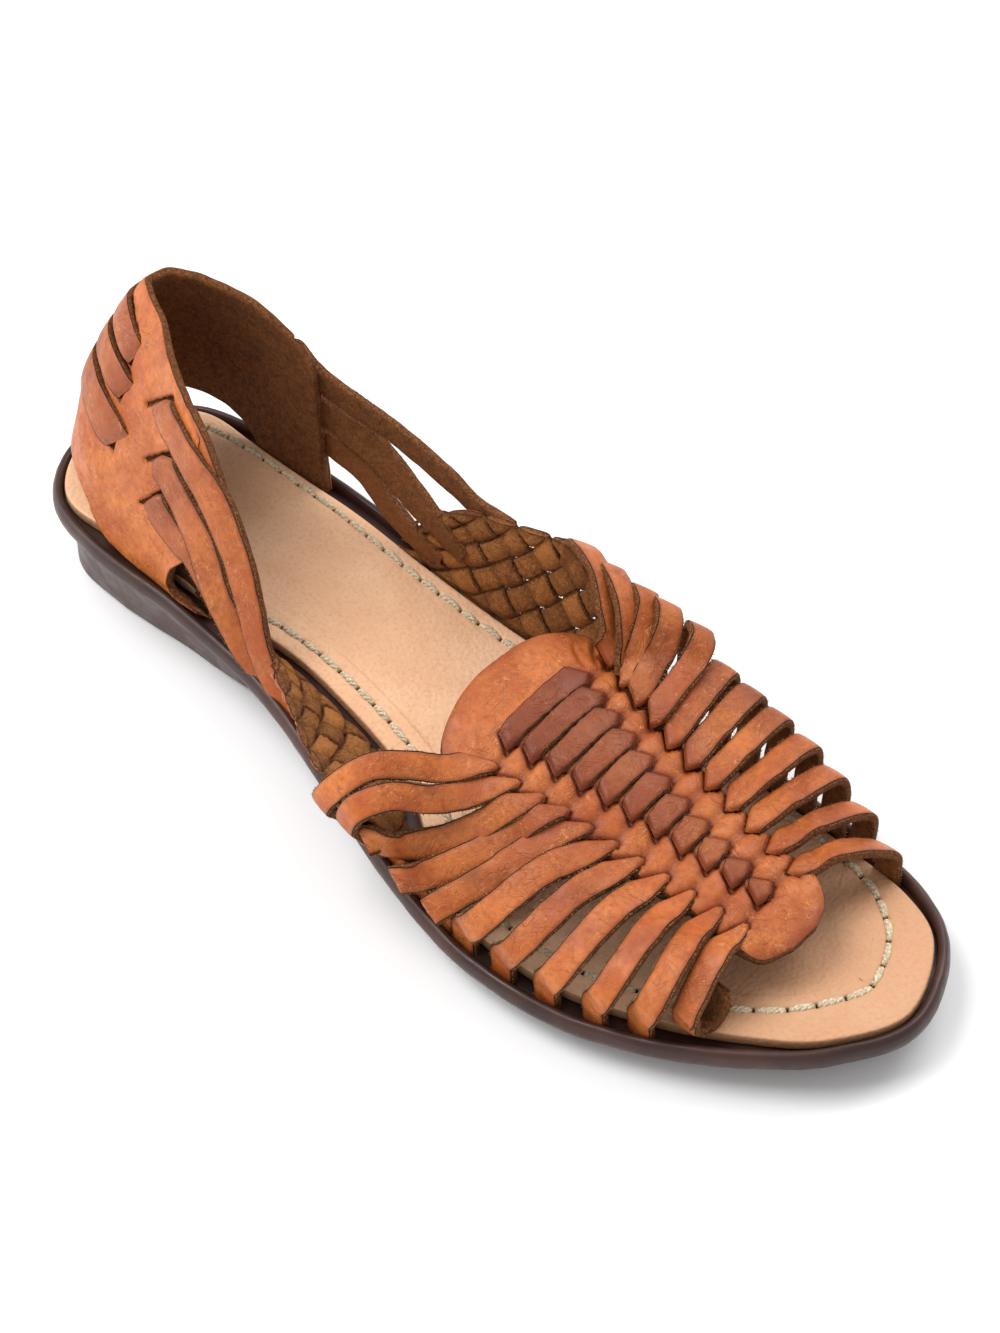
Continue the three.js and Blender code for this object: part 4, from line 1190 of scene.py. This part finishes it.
def make_plug(strap_corners, bars):
    """The centre piece, with slits where straps and bars go through it and soft pillows between them."""
    rows, cols = 210, 112
    t = np.linspace(0, 1, rows)
    edge = lambda name: catmull(np.stack([PLUG["x"], PLUG[name], PLUG["crown"]], 1), t)
    lateral, medial = edge("lateral"), edge("medial")
    u = np.linspace(0, 1, cols)[None, :, None]
    base = lateral[:, None] * (1 - u) + medial[:, None] * u
    x, y = base[..., 0], base[..., 1]
    slits = []
    for side, group in strap_corners.items():
        for left, right, tip in group:
            slits += [(left[:2], tip[:2]), (tip[:2], right[:2])]
    for c in bars:
        slits += [(c[0], c[1]), (c[1], c[2]), (c[3], c[4]), (c[4], c[5])]
    d = np.full(x.shape, 1e9)
    for a, b in slits:
        d = np.minimum(d, segment_distance(x, y, np.asarray(a), np.asarray(b)))
    # a soft valley runs from each strap's tip to the end of its bar, which leaves diamonds between them
    valley = np.full(x.shape, 1e9)
    for a, b in list(zip(LATERAL_TIPS, BAR_LATERAL)) + list(zip(MEDIAL_TIPS, BAR_MEDIAL)):
        valley = np.minimum(valley, segment_distance(x, y, np.array(a), np.array(b)))
    beyond = np.zeros(x.shape)
    for side, group in strap_corners.items():
        path = []
        for left, right, tip in group:
            heel, toe = (right, left) if side < 0 else (left, right)
            path += [heel[:2], tip[:2], toe[:2]]
        path = np.array(path)
        path = path[np.argsort(path[:, 0])]
        edge_y = np.interp(x, path[:, 0], path[:, 1])
        first, last = path[0, 0], path[-1, 0]
        run = smooth(x, first - 0.5, first + 0.5) * smooth(-x, -last - 0.5, -last + 0.5)
        beyond = np.maximum(beyond, smooth(side * (y - edge_y), 0.0, 1.4) * run)
    under_bar = np.zeros(x.shape)
    for c in bars:
        under_bar = np.maximum(under_bar, smooth(inside_depth(x, y, c), 0.0, 1.2))
    z = base[..., 2] - PLUG_FALL * y * y
    weave = smooth(x, 152, 157) * smooth(-x, -226, -222)
    pillow = 0.7 * hill(d, 0.26) + 0.55 * np.exp(-d / 1.1) + 0.75 * hill(valley, 1.0) - 0.45
    z = z - pillow * weave - 1.5 * beyond - 1.1 * under_bar
    # wrinkles that run out from the first straps into the plain end, in the shoe's own sizes
    for cx, cy, angle, length, depth in PLUG_WRINKLES:
        dx, dy = x - cx, y - cy
        along = dx * math.cos(angle) + dy * math.sin(angle)
        off = -dx * math.sin(angle) + dy * math.cos(angle) + 0.04 * along * along
        run = smooth(along, -1.0, 1.0) * smooth(-along, -length, -length + 3)
        z = z + depth * run * (0.6 * hill(off - 1.2, 0.8) - 1.5 * hill(off, 0.55))
    z = z + 0.1 * wobble(base, 10.0, 30) + 0.03 * wobble(base, 3.0, 31)
    rim = np.minimum(np.minimum(u[..., 0], 1 - u[..., 0]) * (medial[:, 1] - lateral[:, 1])[:, None], 9)
    ends = np.minimum(x - x.min(), x.max() - x)
    border = np.minimum(rim, ends * 1.3)
    z = z - 0.5 * np.exp(-border / 0.5) - 0.5 * hill(border, 2.5) * (1 - weave)
    top = np.stack([x, y, z], -1)
    thick = 2.0
    floor = np.minimum(z, column(PLUG, "crown", x) - PLUG_FALL * y * y - 0.6) - thick + 0.3
    bottom = np.stack([x - 0.3, y, floor], -1)
    n = rows * cols
    points = np.concatenate([top.reshape(-1, 3), bottom.reshape(-1, 3)])
    faces = list(grid_faces(rows, cols, flip=True)) + list(grid_faces(rows, cols, start=n))
    rim_index = perimeter(rows, cols)
    for a, b in zip(rim_index, rim_index[1:] + rim_index[:1]):
        faces.append([a, b, b + n, a + n])
    side = np.concatenate([np.where(border.reshape(-1) < 0.05, 0.3, 1.0), np.full(n, -1.0)])
    # painted shade along the slits and down the valleys of the weave; the plain ends are darker towards their
    # border, and the whole piece a little darker
    dark = (0.8 * hill(d, 0.5) + 0.35 * hill(d, 1.6) + 0.35 * hill(valley, 0.9)) * weave
    dark = dark + 0.45 * (1 - weave) * hill(border, 3.0) + 0.2
    burn = np.concatenate([dark.reshape(-1), np.zeros(n)])
    piece = Piece("vamp_plug")
    piece.add(points, faces, side=side, burn=burn, tone=-0.15)
    return piece


# Wrinkles of the centre piece's plain end: x, y, angle from +X, length, depth.
PLUG_WRINKLES = [
    (157.0, 15.5, 2.7, 9.0, 0.35),
    (156.0, 13.0, 3.0, 8.0, 0.3),
    (157.5, 18.0, 2.35, 6.0, 0.35),
    (155.0, 10.0, 3.4, 7.0, 0.25),
    (157.0, -18.0, -2.6, 8.0, 0.35),
    (156.5, -15.0, -2.9, 8.0, 0.3),
    (155.5, -20.5, -2.2, 5.0, 0.35),
]


def make_vamp():
    lateral, lateral_cuts = vamp_straps("lateral_straps", LATERAL_TIPS, LATERAL_RUNS, -1)
    medial, medial_cuts = vamp_straps("medial_straps", MEDIAL_TIPS, MEDIAL_RUNS, 1)
    bars, shapes = make_bars()
    plug = make_plug({-1: lateral_cuts, 1: medial_cuts}, shapes)
    plug.build(LEATHER, "tan_leather", "upper")
    bars.build(LEATHER, "tan_leather")
    lateral.build(LEATHER, "tan_leather")
    medial.build(LEATHER, "tan_leather")


# ---- Side braids ---------------------------------------------------------------------------------------------


def braid_point(rows, x, v):
    side = np.sign(rows["topY"][0])
    shape = np.broadcast(x, v).shape
    x, v = np.broadcast_to(x, shape).ravel(), np.broadcast_to(v, shape).ravel()
    foot = side_point(x, side, column(rows, "inset", x))
    foot[:, 2] = seat_z(foot[:, 0]) + GAP + 0.4
    top = np.stack([column(rows, n, x) for n in ("topX", "topY", "topZ")], 1)
    p = foot + (top - foot) * v[:, None]
    p[:, 1] += side * 3.2 * v * (1 - v)
    return p.reshape(*shape, 3)


def braid_normal(rows, x, v):
    side = np.sign(rows["topY"][0])
    a = braid_point(rows, x + 0.5, v) - braid_point(rows, x - 0.5, v)
    b = braid_point(rows, x, v + 0.02) - braid_point(rows, x, v - 0.02)
    n = unit(np.cross(a, b))
    return n * np.where((n[..., 1] * side > 0), 1, -1)[..., None]


def plait(name, rows, start, end, cells, advance, seed):
    """Flat plait on a braid's surface: strands run up and down it at a slant, over one and under one, and
    end at its edges. cells is how many crossings fit its height, advance their spacing along it."""
    piece = Piece(name)
    a, h, side = SECTION.T
    rng = np.random.default_rng(seed)
    count = int(math.ceil((end - start) / advance)) + cells
    for going in (1, -1):
        for k in range(-cells, count):
            # a strand climbs (or comes down) one cell of height for each advance along the braid
            begin = start + k * advance
            steps = 16 * cells
            f = np.linspace(0, cells, steps + 1)
            half = 0.435 * advance
            x = begin + f * advance
            v = f / cells if going > 0 else 1 - f / cells
            keep = (x > start - 1) & (x < end + 1)
            if keep.sum() < 10:
                continue
            x, v, f = x[keep], v[keep], f[keep]
            # over one strand and under the next in each cell
            shift = a[None, :] * half
            phase = f[:, None] + shift / (2 * advance)
            wave = going * np.cos(2 * math.pi * phase - math.pi * cells)
            wave = np.tanh(3.2 * wave)
            calm = smooth(np.minimum(f, cells - f), 0.0, 0.3)[:, None]
            tone = rng.uniform(-0.5, 0.5)
            # across is along the braid, so that the strand's ends lie along its edges
            px = x[:, None] + shift
            pv = np.broadcast_to(v[:, None], px.shape)
            base = braid_point(rows, px, np.clip(pv, 0, 1))
            normal = braid_normal(rows, px, np.clip(pv, 0.03, 0.97))
            thick = 1.5
            bow = -0.35 * a[None, :] ** 4
            up = h[None, :] * thick / 2 + bow * np.sign(h[None, :]) + 0.95 * wave * calm
            up = up + 0.08 * wobble(base, 3.5, seed + k)
            points = base + normal * up[..., None]
            faces = strap_faces(len(x), len(a))
            # painted shade: each strand is darker where it slips under a crossing strand, along its edges and
            # at the braid's edges
            strand_gap_shade = 0.45 - 0.45 * np.abs(wave * calm) + 0.5 * np.abs(a[None, :]) ** 6
            piece.add(points, faces, side=np.broadcast_to(side, px.shape), burn=strand_gap_shade * 0.8, tone=tone)
    return piece


def make_braids():
    suede = tan_leather("braid_leather_look", (146, 84, 38), (214, 144, 78))
    plait("lateral_braid", LATERAL_BRAID, 87, 147, 2, 9.6, 70).build(suede, "tan_leather")
    plait("medial_braid", MEDIAL_BRAID, 87, 156, 3, 10.6, 71).build(suede, "tan_leather")


# ---- Heel counter --------------------------------------------------------------------------------------------


def counter_point(u, v):
    shape = np.broadcast(u, v).shape
    u, v = np.broadcast_to(u, shape).ravel(), np.broadcast_to(v, shape).ravel()
    value = lambda name, at=u: column(COUNTER, name, at, "u")
    foot = np.stack([value("footX"), value("footY"), 0 * u], 1)
    foot[:, 2] = seat_z(foot[:, 0]) + GAP + 0.9
    collar = np.stack([value("collarX"), value("collarY"), value("collarZ")], 1)
    ax = value("footX", u + 1e-3) - value("footX", u - 1e-3)
    ay = value("footY", u + 1e-3) - value("footY", u - 1e-3)
    outward = unit(np.stack([-ay, ax, 0 * ax], 1))
    swell = COUNTER_BELLY * np.sin(math.pi * v) * np.sin(math.pi * u) ** 2
    return (foot + (collar - foot) * v[:, None] + outward * swell[:, None]).reshape(*shape, 3)


def counter_normal(u, v):
    d = 0.01
    along = counter_point(np.minimum(u + d, 1), v) - counter_point(np.maximum(u - d, 0), v)
    upward = counter_point(u, np.minimum(v + d, 1)) - counter_point(u, np.maximum(v - d, 0))
    return unit(np.cross(upward, along))


# Places on the counter are u from its lateral front edge (0) round to its medial one (1), and v from the foot
# (0) up to the collar (1).
# Strips of leather woven round its back, the top one first: where each begins and ends in u, the height of its
# middle line at the back, half its width, how far it sinks to its ends, and the slant its ends are cut on.
BACK_STRIPS = [
    (0.27, 0.73, 0.87, 0.055, 0.055, 0.03),
    (0.26, 0.735, 0.73, 0.054, 0.052, 0.03),
    (0.24, 0.745, 0.59, 0.072, 0.105, 0.057),
]
# Slits that the forward straps come out of: (u, v) at each end.
FORWARD_SLITS = [
    ((0.19, 0.74), (0.11, 0.92)),
    ((0.16, 0.53), (0.08, 0.71)),
    ((0.15, 0.33), (0.10, 0.47)),
    ((0.84, 0.86), (0.905, 0.99)),
    ((0.83, 0.60), (0.89, 0.72)),
    ((0.83, 0.34), (0.89, 0.46)),
]
# Where the lateral leg's front edge is at each height: it is cut away in a curl above its foot.
LEG_CUT = table(
    "v u",
    [
        (0, -0.045),
        (0.015, -0.02),
        (0.03, 0.03),
        (0.05, 0.044),
        (0.09, 0.053),
        (0.15, 0.05),
        (0.26, 0.023),
        (0.38, 0),
        (1, 0),
    ],
)
# Millimetres along and up the counter for each unit of u and v, near enough for its finer marks.
U_SCALE = 110
V_SCALE = 55


def strip_edges(strip, u):
    """Heights of a back strip's lower and upper edges at u."""
    first, last, middle, half, sink, _ = strip
    t = (2 * u - first - last) / (last - first)
    line = middle - sink * np.minimum(t * t, 1)
    return line - half, line + half


def fold_depth(folds, u, v, wave, pitch, fade):
    """Depth of the folds in a list at (u, v). Each wanders by wave and fades at its ends."""
    total = np.zeros(v.shape)
    for fold_u, fold_v, du, dv, width, depth in folds:
        length = math.hypot(du * U_SCALE, dv * V_SCALE)
        ex, ey = du * U_SCALE / length, dv * V_SCALE / length
        px, py = (u - fold_u) * U_SCALE, (v - fold_v) * V_SCALE
        t = px * ex + py * ey
        off = -px * ey + py * ex + wave * np.sin(t * pitch)
        run = smooth(t, -1, fade) * smooth(-t, -length - 1, -length + fade)
        total = total + depth * hill(off, width) * run
    return total


def make_counter():
    rows, cols = 300, 110
    u = np.linspace(0, 1, rows)
    tall = column(COUNTER, "collarZ", u, "u") - 22
    lowest = column(COUNTER, "lift", u, "u") / tall
    v = lowest[:, None] + (1 - lowest[:, None]) * np.linspace(0, 1, cols)[None, :]
    front = column(LEG_CUT, "u", v, "v")
    uu = front + (1 - front) * u[:, None]
    mid, normal = counter_point(uu, v), counter_normal(uu, v)
    mid = mid + np.maximum(-uu, 0)[..., None] * np.array([135.0, 12.0, -14.0])
    # distances in millimetres along and up the counter
    along = np.linalg.norm(np.gradient(mid, axis=0), axis=-1)
    per_u = along * (rows - 1)
    ahead = (uu - front) * 115
    flare = 1.9 * np.exp(-ahead / 2.2) * smooth(v, 0.0, 0.04) * smooth(-v, -0.3, -0.2)
    per_v = tall[:, None]
    sink = np.zeros(v.shape)
    dark = np.zeros(v.shape)
    for strip in BACK_STRIPS:
        first, last = strip[:2]
        low, high = strip_edges(strip, uu)
        reach = np.minimum(uu - first - 0.004, last - 0.004 - uu) * per_u
        d = np.minimum(np.minimum(v - low + 0.006, high + 0.012 - v) * per_v, reach)
        sink = np.maximum(sink, 1.25 * smooth(d, -0.1, 0.5))
        dark = np.maximum(dark, smooth(d, -0.4, 0.2))
    for (u0, v0), (u1, v1) in FORWARD_SLITS:
        du, dv = (u1 - u0) * per_u, (v1 - v0) * per_v
        px, py = (uu - u0) * per_u, (v - v0) * per_v
        length2 = du * du + dv * dv
        t = np.clip((px * du + py * dv) / length2, 0, 1)
        d = np.hypot(px - t * du, py - t * dv)
        sink = np.maximum(sink, 1.3 * hill(d, 0.55))
        dark = np.maximum(dark, hill(d, 1.0))
        # the leather dips where the strap leaves it and lifts in a lip behind
        forward = (px * dv - py * du) / np.sqrt(length2)
        on = smooth(t, 0, 0.08) * smooth(-t, -1, -0.92)
        lip = hill(forward * np.sign(u0 - 0.5) - 1.0, 1.4) * on * (d < 3.2)
        sink = sink - 0.35 * lip * (sink < 0.6)
    crease = fold_depth(COUNTER_CREASES, uu, v, 0.8, 0.35, 2)
    soft = 0.22 * wobble(mid, 16.0, 50) + 0.06 * wobble(mid, 5.0, 51)
    outer = mid + normal * (COUNTER_THICK / 2 - sink + crease + soft + flare)[..., None]
    inner_fold = fold_depth(LINING_FOLDS, uu, v, 0.6, 0.5, 3)
    inner = mid - normal * (COUNTER_THICK / 2 + inner_fold - soft * 0.8 - flare)[..., None]
    # the collar's cut edge is rounded over
    back = np.clip((1 - v) * per_v, 0, 3)
    outer = outer - normal * (0.75 * np.exp(-back / 0.35))[..., None]
    inner = inner + normal * (0.5 * np.exp(-back / 0.35))[..., None]
    n = rows * cols
    points = np.concatenate([outer.reshape(-1, 3), inner.reshape(-1, 3)])
    faces = list(grid_faces(rows, cols)) + list(grid_faces(rows, cols, start=n, flip=True))
    # cut edges, with a row of points between the faces
    rim = np.array(perimeter(rows, cols))
    middle = (points[rim] + points[rim + n]) / 2
    middle = middle + 0.35 * wobble(middle, 2.0, 52)[:, None] * np.array([0.2, 0.2, 1.0])
    m = len(rim)
    points = np.concatenate([points, middle])
    for k in range(m):
        a, b = rim[k], rim[(k + 1) % m]
        p, q = 2 * n + k, 2 * n + (k + 1) % m
        faces.append([b, a, p, q])
        faces.append([q, p, a + n, b + n])
    side_out = np.where(sink > 0.9, 0.0, 1.0)
    side_out = np.minimum(side_out, np.where(back < 0.25, 0.4, 1.0))
    side = np.concatenate([side_out.reshape(-1), np.full(n, -1.0), np.zeros(m)])
    # painted shade in a thin band round the back strips' channels and round the slits
    burn = np.concatenate([(0.45 * dark * (sink < 0.6)).reshape(-1), np.zeros(n + m)])
    tone = np.concatenate([np.full(n, -0.2), np.zeros(n + m)])
    piece = Piece("counter_wall")
    piece.add(points, faces, side=side, burn=burn, tone=tone)
    return piece


# Soft creases of the counter's grain side and folds of its lining: start u, v, run in u, v, width, depth.
COUNTER_CREASES = [
    (0.34, 0.42, -0.10, -0.22, 0.8, -0.22),
    (0.30, 0.36, -0.07, -0.22, 1.0, 0.2),
    (0.24, 0.30, -0.09, -0.06, 0.7, -0.2),
    (0.21, 0.22, -0.10, 0.03, 0.8, 0.18),
    (0.26, 0.20, -0.08, -0.10, 0.7, -0.18),
    (0.12, 0.18, -0.08, -0.04, 0.8, -0.18),
    (0.72, 0.34, 0.10, -0.16, 0.8, -0.2),
    (0.80, 0.24, 0.10, -0.06, 0.9, -0.18),
    (0.44, 0.38, 0.14, 0.02, 0.9, -0.16),
]
LINING_FOLDS = [
    (0.52, 0.52, 0.30, -0.03, 0.7, -0.45),
    (0.50, 0.47, 0.26, -0.02, 1.2, 0.3),
    (0.62, 0.42, 0.08, -0.12, 0.8, 0.4),
    (0.30, 0.45, 0.14, 0.02, 0.8, -0.3),
]


def make_back_strips():
    piece = Piece("back_strips")
    a, h, side = SECTION.T
    rows = 120
    for k, strip in enumerate(BACK_STRIPS):
        u = np.linspace(strip[0], strip[1], rows)
        low, high = strip_edges(strip, u)
        at = (a[None, :] + 1) / 2
        vv = low[:, None] + (high - low)[:, None] * at
        # the ends are cut on a slant
        slant = strip[-1]
        end = hill((u - u[0]) * U_SCALE, 9.0)[:, None] * (at - 0.5) * -slant
        uu = u[:, None] + end
        mid, normal = counter_point(uu, vv), counter_normal(uu, vv)
        near = np.minimum(u - u[0], u[-1] - u)[:, None] * U_SCALE
        rise = COUNTER_THICK / 2 - 0.05 - 1.0 * np.exp(-near / 1.1)
        bow = 0.35 * np.sin(math.pi * np.clip(near / 60, 0, 1))
        up = rise + bow + h[None, :] * 0.85 + 0.08 * wobble(mid, 8.0, 90 + k)
        points = mid + normal * up[..., None]
        burn = 0.15 + 0.45 * np.exp(-near / 6.0) + 0.2 * hill(near - 14, 6)
        burn, shade = np.broadcast_to(burn, vv.shape), np.broadcast_to(side, vv.shape)
        piece.add(points, strap_faces(rows, len(a), flip=True), side=shade, burn=burn, tone=0.1)
    return piece


# Forward straps: (u, v, width) on the counter after the slit, then (x, y, z, width, face direction) free of it.
HEEL_RUNS = [
    (
        [(0.125, 0.835, 9.0), (0.035, 0.83, 9.6)],
        [
            (72.5, -16.4, 55.4, 9.2, 0.2, -1, 0.35),
            (81.5, -18.9, 44.9, 8.0, 0.2, -1, 0.4),
            (87.0, -21.6, 35.7, 7.0, 0.2, -1, 0.4),
            (91.8, -24.0, 26.0, 6.4, 0.2, -1, 0.45),
            (98.5, -25.4, 18.6, 5.8, 0.3, -1, 0.5),
            (103.0, -26.0, 15.6, 5.0, 0.2, -1, 0.3),
        ],
    ),
    (
        [(0.105, 0.62, 9.4), (0.045, 0.575, 9.2)],
        [
            (70.0, -19.9, 43.0, 8.4, 0.3, -1, 0.3),
            (75.0, -22.0, 35.8, 7.8, 0.3, -1, 0.4),
            (79.6, -23.3, 30.6, 7.0, 0.4, -1, 0.6),
            (85.0, -24.2, 23.8, 5.6, 0.4, -1, 0.7),
            (92.5, -24.8, 17.8, 4.6, 0.3, -1, 0.5),
        ],
    ),
    (
        [(0.105, 0.40, 8.6), (0.05, 0.355, 8.4)],
        [
            (66.0, -20.0, 37.0, 7.4, 0.2, -1, 0.3),
            (72.0, -20.9, 31.0, 6.4, 0.2, -1, 0.3),
            (79.0, -21.6, 24.5, 5.2, 0.2, -1, 0.3),
            (84.0, -22.2, 19.5, 4.6, 0.2, -1, 0.3),
        ],
    ),
    (
        [(0.97, 0.88, 7.2)],
        [
            (80, 29.2, 50.4, 6.0, 0.1, 1, -0.15),
            (96, 30.2, 45.6, 5.8, 0.1, 1, -0.15),
            (106, 30.6, 41.8, 5.4, 0.1, 1, 0.0),
            (116, 31.9, 40.5, 4.6, 0.1, 1, 0.1),
        ],
    ),
    (
        [(0.97, 0.63, 7.6)],
        [
            (76, 28.2, 41.4, 7.6, 0.1, 1, -0.6),
            (88, 27.2, 36.2, 7.2, 0.1, 1, -0.5),
            (97, 26.4, 32.5, 6.8, 0.1, 1, -0.2),
            (104, 27.0, 27.5, 5.5, 0.1, 1, 0.0),
        ],
    ),
    (
        [(0.97, 0.38, 7.0)],
        [
            (71, 27.2, 34.3, 7.0, 0.1, 1, -0.3),
            (81, 26.2, 28.3, 6.8, 0.1, 1, -0.2),
            (91, 25.6, 24.6, 6.0, 0.1, 1, -0.1),
            (97, 26.4, 22.4, 5.0, 0.1, 1, -0.1),
        ],
    ),
]


def on_counter(u, v, out):
    u, v = np.array([float(u)]), np.array([float(v)])
    n = counter_normal(u, v)[0]
    return counter_point(u, v)[0] + n * out, n


def make_heel_straps():
    piece = Piece("heel_straps")
    for k, (on, free) in enumerate(HEEL_RUNS):
        (u0, v0), (u1, v1) = FORWARD_SLITS[k]
        p0, n0 = on_counter((u0 + u1) / 2, (v0 + v1) / 2, 1.0)
        rows = [(*p0, *n0, 7.0)]
        for u, v, width in on:
            p, n = on_counter(u, v, 1.75)
            rows.append((*p, *n, width))
        rows += [(x, y, z, *unit(np.array(n, float)), w) for x, y, z, w, *n in free]
        line, normals, widths = stations(rows)
        # the first edge follows the slit
        ends = np.array([on_counter(u0, v0, 0)[0], on_counter(u1, v1, 0)[0]])
        slit = ends[1] - ends[0]
        tangent = unit(line[6] - line[0])
        over = unit(np.cross(tangent, n0))
        wide = abs(slit @ over)
        slant = (slit @ tangent) / (slit @ over)
        fade = np.clip(1 - np.linspace(0, 1, len(line)) * 5, 0, 1)
        widths = widths * (1 - fade) + np.clip(wide * 0.97, 4, 9) * fade
        shift = abs(slant) * wide / 2
        cut = lambda a: shift + slant * a * wide / 2
        line = np.vstack([line[0] - tangent * shift, line])
        normals, widths = np.vstack([normals[:1], normals]), np.r_[widths[0], widths]
        lift = lambda d: -1.2 * np.exp(-d / 0.8)
        burn = lambda d: 0.4 * np.exp(-d / 8.0) + 0.15
        look = dict(burn=burn, tone=0.15 * k % 0.4, seed=100 + k)
        ribbon(piece, line, normals, widths, rows=100, start=cut, lift=lift, **look)
    # the inside of the curled leg, behind its cut: a suede sheet for the rolled leather's inside, darkened all
    # over with painted shade
    rows = []
    for u, out in ((0.10, -2.6), (0.05, -3.4), (0.0, -3.0)):
        p, n = on_counter(u, 0.14, out)
        rows.append((*p, *n, 12.0))
    rows.append((72.0, -19.6, 25.5, 0.1, -1, 0.3, 8.0))
    dark = lambda d: np.full(d.shape, 0.8)
    ribbon(piece, *stations(rows), thick=1.4, rows=30, tone=0.4, burn=dark, flesh_up=True, seed=130)
    return piece


COLLAR_RUN = [(73, -15.2, 56.0, 5.0), (80, -17.2, 47.0, 4.6), (86, -19.6, 37.0, 4.2)]


def make_collar_strap():
    piece = Piece("collar_strap")
    p0, n0 = on_counter(0.07, 0.93, 0)
    p1, _ = on_counter(0.0, 0.93, 0)
    out = unit(np.array([0.1, -1, 0.3]))
    rows = [(*p0, *n0, 7.4), (*p1, *unit(n0 + out), 7.0)] + [(x, y, z, *out, w) for x, y, z, w in COLLAR_RUN]
    burn = lambda d: 0.15 + 0.25 * hill(d - 22, 9)
    ribbon(piece, *stations(rows), rows=90, burn=burn, seed=120)
    return piece


def make_heel():
    make_counter().build(LEATHER, "tan_leather", "heel_counter")
    make_back_strips().build(LEATHER, "tan_leather")
    make_heel_straps().build(LEATHER, "tan_leather")
    make_collar_strap().build(LEATHER, "tan_leather")


make_sole()
make_footbed()
make_thread()
make_vamp()
make_braids()
make_heel()

# ---- Camera, floor and light ---------------------------------------------------------------------------------

scene = bpy.context.scene
# the way the camera faces over the floor, how far it looks down, and how far it is turned
heading = np.array([-0.690, 0.724, 0.0])
pitch, roll = math.radians(45.31), math.radians(-0.97)
forward = heading * math.cos(pitch) - np.array([0, 0, 1]) * math.sin(pitch)
right = unit(np.array([heading[1], -heading[0], 0.0]))
up = np.cross(right, unit(forward))
turned_right = right * math.cos(roll) + up * math.sin(roll)
turned_up = up * math.cos(roll) - right * math.sin(roll)
camera = bpy.data.cameras.new("camera")
camera.sensor_width = 36
camera.lens = 54 * 1.185
camera.shift_x, camera.shift_y = -0.0831, -0.0431
camera.clip_start, camera.clip_end = 0.01, 50
holder = bpy.data.objects.new("camera", camera)
scene.collection.objects.link(holder)
turn = Matrix((turned_right, turned_up, -unit(forward))).transposed()
holder.matrix_world = Matrix.Translation(Vector(place((398.1, -233.2, 405.1)))) @ turn.to_4x4()
scene.camera = holder

plane = bpy.data.meshes.new("floor")
size = 6.0
corners = [(-size, -size, 0), (size, -size, 0), (size, size, 0), (-size, size, 0)]
plane.from_pydata(corners, [], [(0, 1, 2, 3)])
pale = Nodes("floor_look")
pale.finish((0.9, 0.9, 0.9), 0.85, Specular_IOR_Level=0.1)
plane.materials.append(pale.material)
floor = bpy.data.objects.new("floor", plane)
scene.collection.objects.link(floor)

world = bpy.data.worlds.new("studio")
world.use_nodes = True
world.node_tree.nodes["Background"].inputs[0].default_value = (1.0, 1.0, 1.0, 1)
world.node_tree.nodes["Background"].inputs[1].default_value = 0.7
scene.world = world


def soft_light(name, where, aim, side, power):
    lamp = bpy.data.lights.new(name, "AREA")
    lamp.shape, lamp.size, lamp.energy = "SQUARE", side, power
    made = bpy.data.objects.new(name, lamp)
    scene.collection.objects.link(made)
    made.location = where
    made.rotation_mode = "QUATERNION"
    made.rotation_quaternion = (Vector(aim) - Vector(where)).to_track_quat("-Z", "Y")


soft_light("key", (-0.45, -0.4, 1.2), (0, 0, 0), 0.7, 11)
soft_light("back", (0.0, 0.9, 1.0), (0, 0, 0), 0.8, 8.5)
soft_light("fill", (-0.9, -0.5, 0.5), (-0.05, 0, 0.03), 0.8, 4)
scene.view_settings.view_transform = "Standard"
